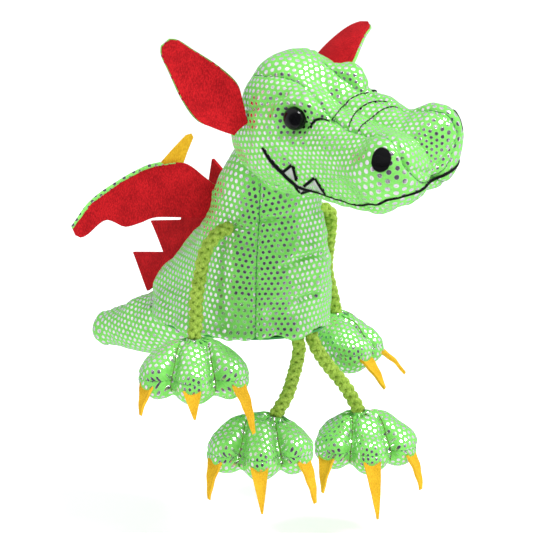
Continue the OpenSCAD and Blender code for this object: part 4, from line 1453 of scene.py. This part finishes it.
def paw(name, place, turned, w, wrist, claws, droop, body_name, top, bottom, seed):
    """A stuffed paw of two pieces of cloth, turned and put in its place."""
    shape = paw_shape(w, wrist)
    rot = turn("z", turned)
    grooves = [toe_groove(shape, side * w * 0.185) for side in (-1, 1)]
    skin = paw_cloth(shape, wrist, grooves, seed) @ rot.T + place
    obj = stuffed(name, skin, PAW_MIDDLE @ rot.T + place, [], vec(0, 0, 1), foil, body_name,
                  rim=LOW_ROWS)
    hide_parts(top, bottom, bottom.rsplit("_", 1)[0] + "_filling")
    sunk = [(g * 0.985 + vec(0, -0.1, 0)) @ rot.T + place for g in grooves]
    gathers = []
    for a in np.arange(0, 2 * math.pi, 2 * math.pi / SPOKES):
        beside = vec(*wrist) + vec(4.6 * math.cos(a), 4.6 * math.sin(a), -1.0)
        gathers.append(beside @ rot.T + place)
    paw_threads(name, skin, sunk, vec(*wrist) @ rot.T + place, gathers, body_name)
    paw_claws(name, shape, w, rot, place, claws, droop, body_name, top.rsplit("_", 1)[0], seed)


# %% The four limbs
# Limb, paw, side, underside, the cord's route, the paw's place, turn and width, its wrist,
# the lengths of its claws, and how far they droop.
limbs = (
    ("arm", "hand", "left", "palm",
     ((26, -7, 45), (31, -7, 43), (34, -5, 37), (36.5, -1.5, 28), (39.5, 2.5, 17), (44, 4, 6)),
     (47.5, 3.5, -15), 45, 42, (0, 1, 12), (13, 12.5, 12), 0.35),
    ("arm", "hand", "right", "palm",
     ((-26, -7, 45), (-31, -6, 43), (-36, -5, 37), (-40, -6, 28), (-44, -8, 19), (-48, -12, 12)),
     (-52, -15, -5), -45, 42, (0, 1, 12), (9.8, 8.6, 17), 1.1),
    ("leg", "foot", "left", "sole",
     ((6, -22.5, -3.5), (8.5, -23, -8), (14, -23.5, -15), (21, -24.5, -23), (26, -25, -30)),
     (31, -27, -48), -35, 41, (-2, 1, 12), (12, 20, 13), 1.3),
    ("leg", "foot", "right", "sole",
     ((-3, -23.5, -3.5), (-4.5, -24, -9), (-8.5, -25.5, -15), (-14.5, -28, -21)),
     (-27, -26, -38), -45, 41, (6, 1, 11.5), (13, 15.2, 14.8), 1.3),
)
for seed, (kind, end, word, under, route, place, turned, w, wrist, claws, droop) in enumerate(limbs):
    place = vec(*place)
    wrist_at = place + turn("z", turned) @ vec(*wrist)
    # A leg's cord starts inside the hem, where it is sewn in.
    sewn_in = [vec(*route[0]) + vec(0, 2.2, 5)] if kind == "leg" else []
    braid(f"{kind}_braid_{word}", [*sewn_in, *route, wrist_at], f"{kind}_{word}",
          f"{kind}_cord_{word}")
    paw(f"{end}_{word}_skin", place, turned, w, wrist, claws, droop, f"{end}_{word}",
        f"{end}_{word}_top", f"{end}_{word}_{under}", 20 + 7 * seed)

# %% [markdown]
# ## Stage, light and camera
# A white room lights the toy from everywhere, and one large lamp gives it a side. The room is
# dark only behind the camera, which is why foil that faces forward goes grey.

# %% World, lamps and floor
scene = bpy.context.scene
world = bpy.data.worlds.new("room")
world.use_nodes = True
scene.world = world
tree = world.node_tree
background = tree.nodes["Background"]
path = tree.nodes.new("ShaderNodeLightPath")
looking = tree.nodes.new("ShaderNodeTexCoord").outputs["Generated"]
front = vector_node(tree, "DOT_PRODUCT", looking, (-0.70, -0.70, 0.0))
dark = span(tree, front, 0.22, 0.62)
walls = mix_colour(tree, span(tree, front, -0.75, 0.05), (0.58, 0.50, 0.65, 1), (1.0, 1.0, 1.0, 1))
mirrored = mix_colour(tree, dark, walls, (0.03, 0.025, 0.045, 1))
tinted = mix_colour(tree, span(tree, noise(tree, looking, 3.0), 0.4, 0.7, 0.0, 0.4), mirrored,
                    (0.62, 0.52, 0.70, 1))
colour = mix_colour(tree, path.outputs["Is Glossy Ray"], (0.50, 0.52, 0.52, 1), tinted)
colour = mix_colour(tree, path.outputs["Is Camera Ray"], colour, (1.0, 1.0, 1.0, 1))
wire(tree, colour, background.inputs["Color"])
background.inputs["Strength"].default_value = 1.0


def lamp(name, place, size, power):
    """A round lamp that looks at the middle of the toy."""
    data = bpy.data.lights.new(name, "AREA")
    data.shape = "DISK"
    data.size = size
    data.energy = power
    obj = bpy.data.objects.new(name, data)
    obj.location = place
    obj.rotation_mode = "QUATERNION"
    obj.rotation_quaternion = (Vector((0, 0, 0.03)) - Vector(place)).to_track_quat("-Z", "Y")
    scene.collection.objects.link(obj)
    return obj


key = lamp("key", (0.25, -0.75, 1.25), 0.5, 17)
fill = lamp("fill", (-1.3, -0.2, 0.6), 0.7, 3)
fill.visible_glossy = False

FLOOR_HALF, FLOOR_Z = 6, -0.087
floor_mesh = bpy.data.meshes.new("floor")
corners = [(x * FLOOR_HALF, y * FLOOR_HALF, FLOOR_Z) for x, y in ((-1, -1), (1, -1), (1, 1), (-1, 1))]
floor_mesh.from_pydata(corners, [], [(0, 1, 2, 3)])
paper = plain("paper", (0.93, 0.93, 0.93, 1), 0.9)
glow = paper.node_tree.nodes["Principled BSDF"].inputs
glow["Emission Color"].default_value = (1.0, 1.0, 1.0, 1)
glow["Emission Strength"].default_value = 0.5
floor = keep(floor_mesh, "floor", paper)
floor.visible_glossy = False
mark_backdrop(floor, key, fill)
print("lamps:", key.data.energy, "W and", fill.data.energy, "W")

# %% Camera
camera_data = bpy.data.cameras.new("camera")
camera_data.lens = 202
camera_data.sensor_width = 36
camera_data.clip_end = 100
camera = bpy.data.objects.new("camera", camera_data)
scene.collection.objects.link(camera)
scene.camera = camera
target = Vector((0.00871, 0.00637, 0.02175))
camera.location = (-0.8181, -0.8204, 0.2917)
camera.rotation_mode = "QUATERNION"
camera.rotation_quaternion = (target - camera.location).to_track_quat("-Z", "Y")
scene.view_settings.view_transform = "Standard"
print("camera at", [round(v, 3) for v in camera.location], "m, lens", camera_data.lens, "mm")

# %% Sizes, and the end
low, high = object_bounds()
print("visual box", [round(v, 4) for v in (*low, *high)])
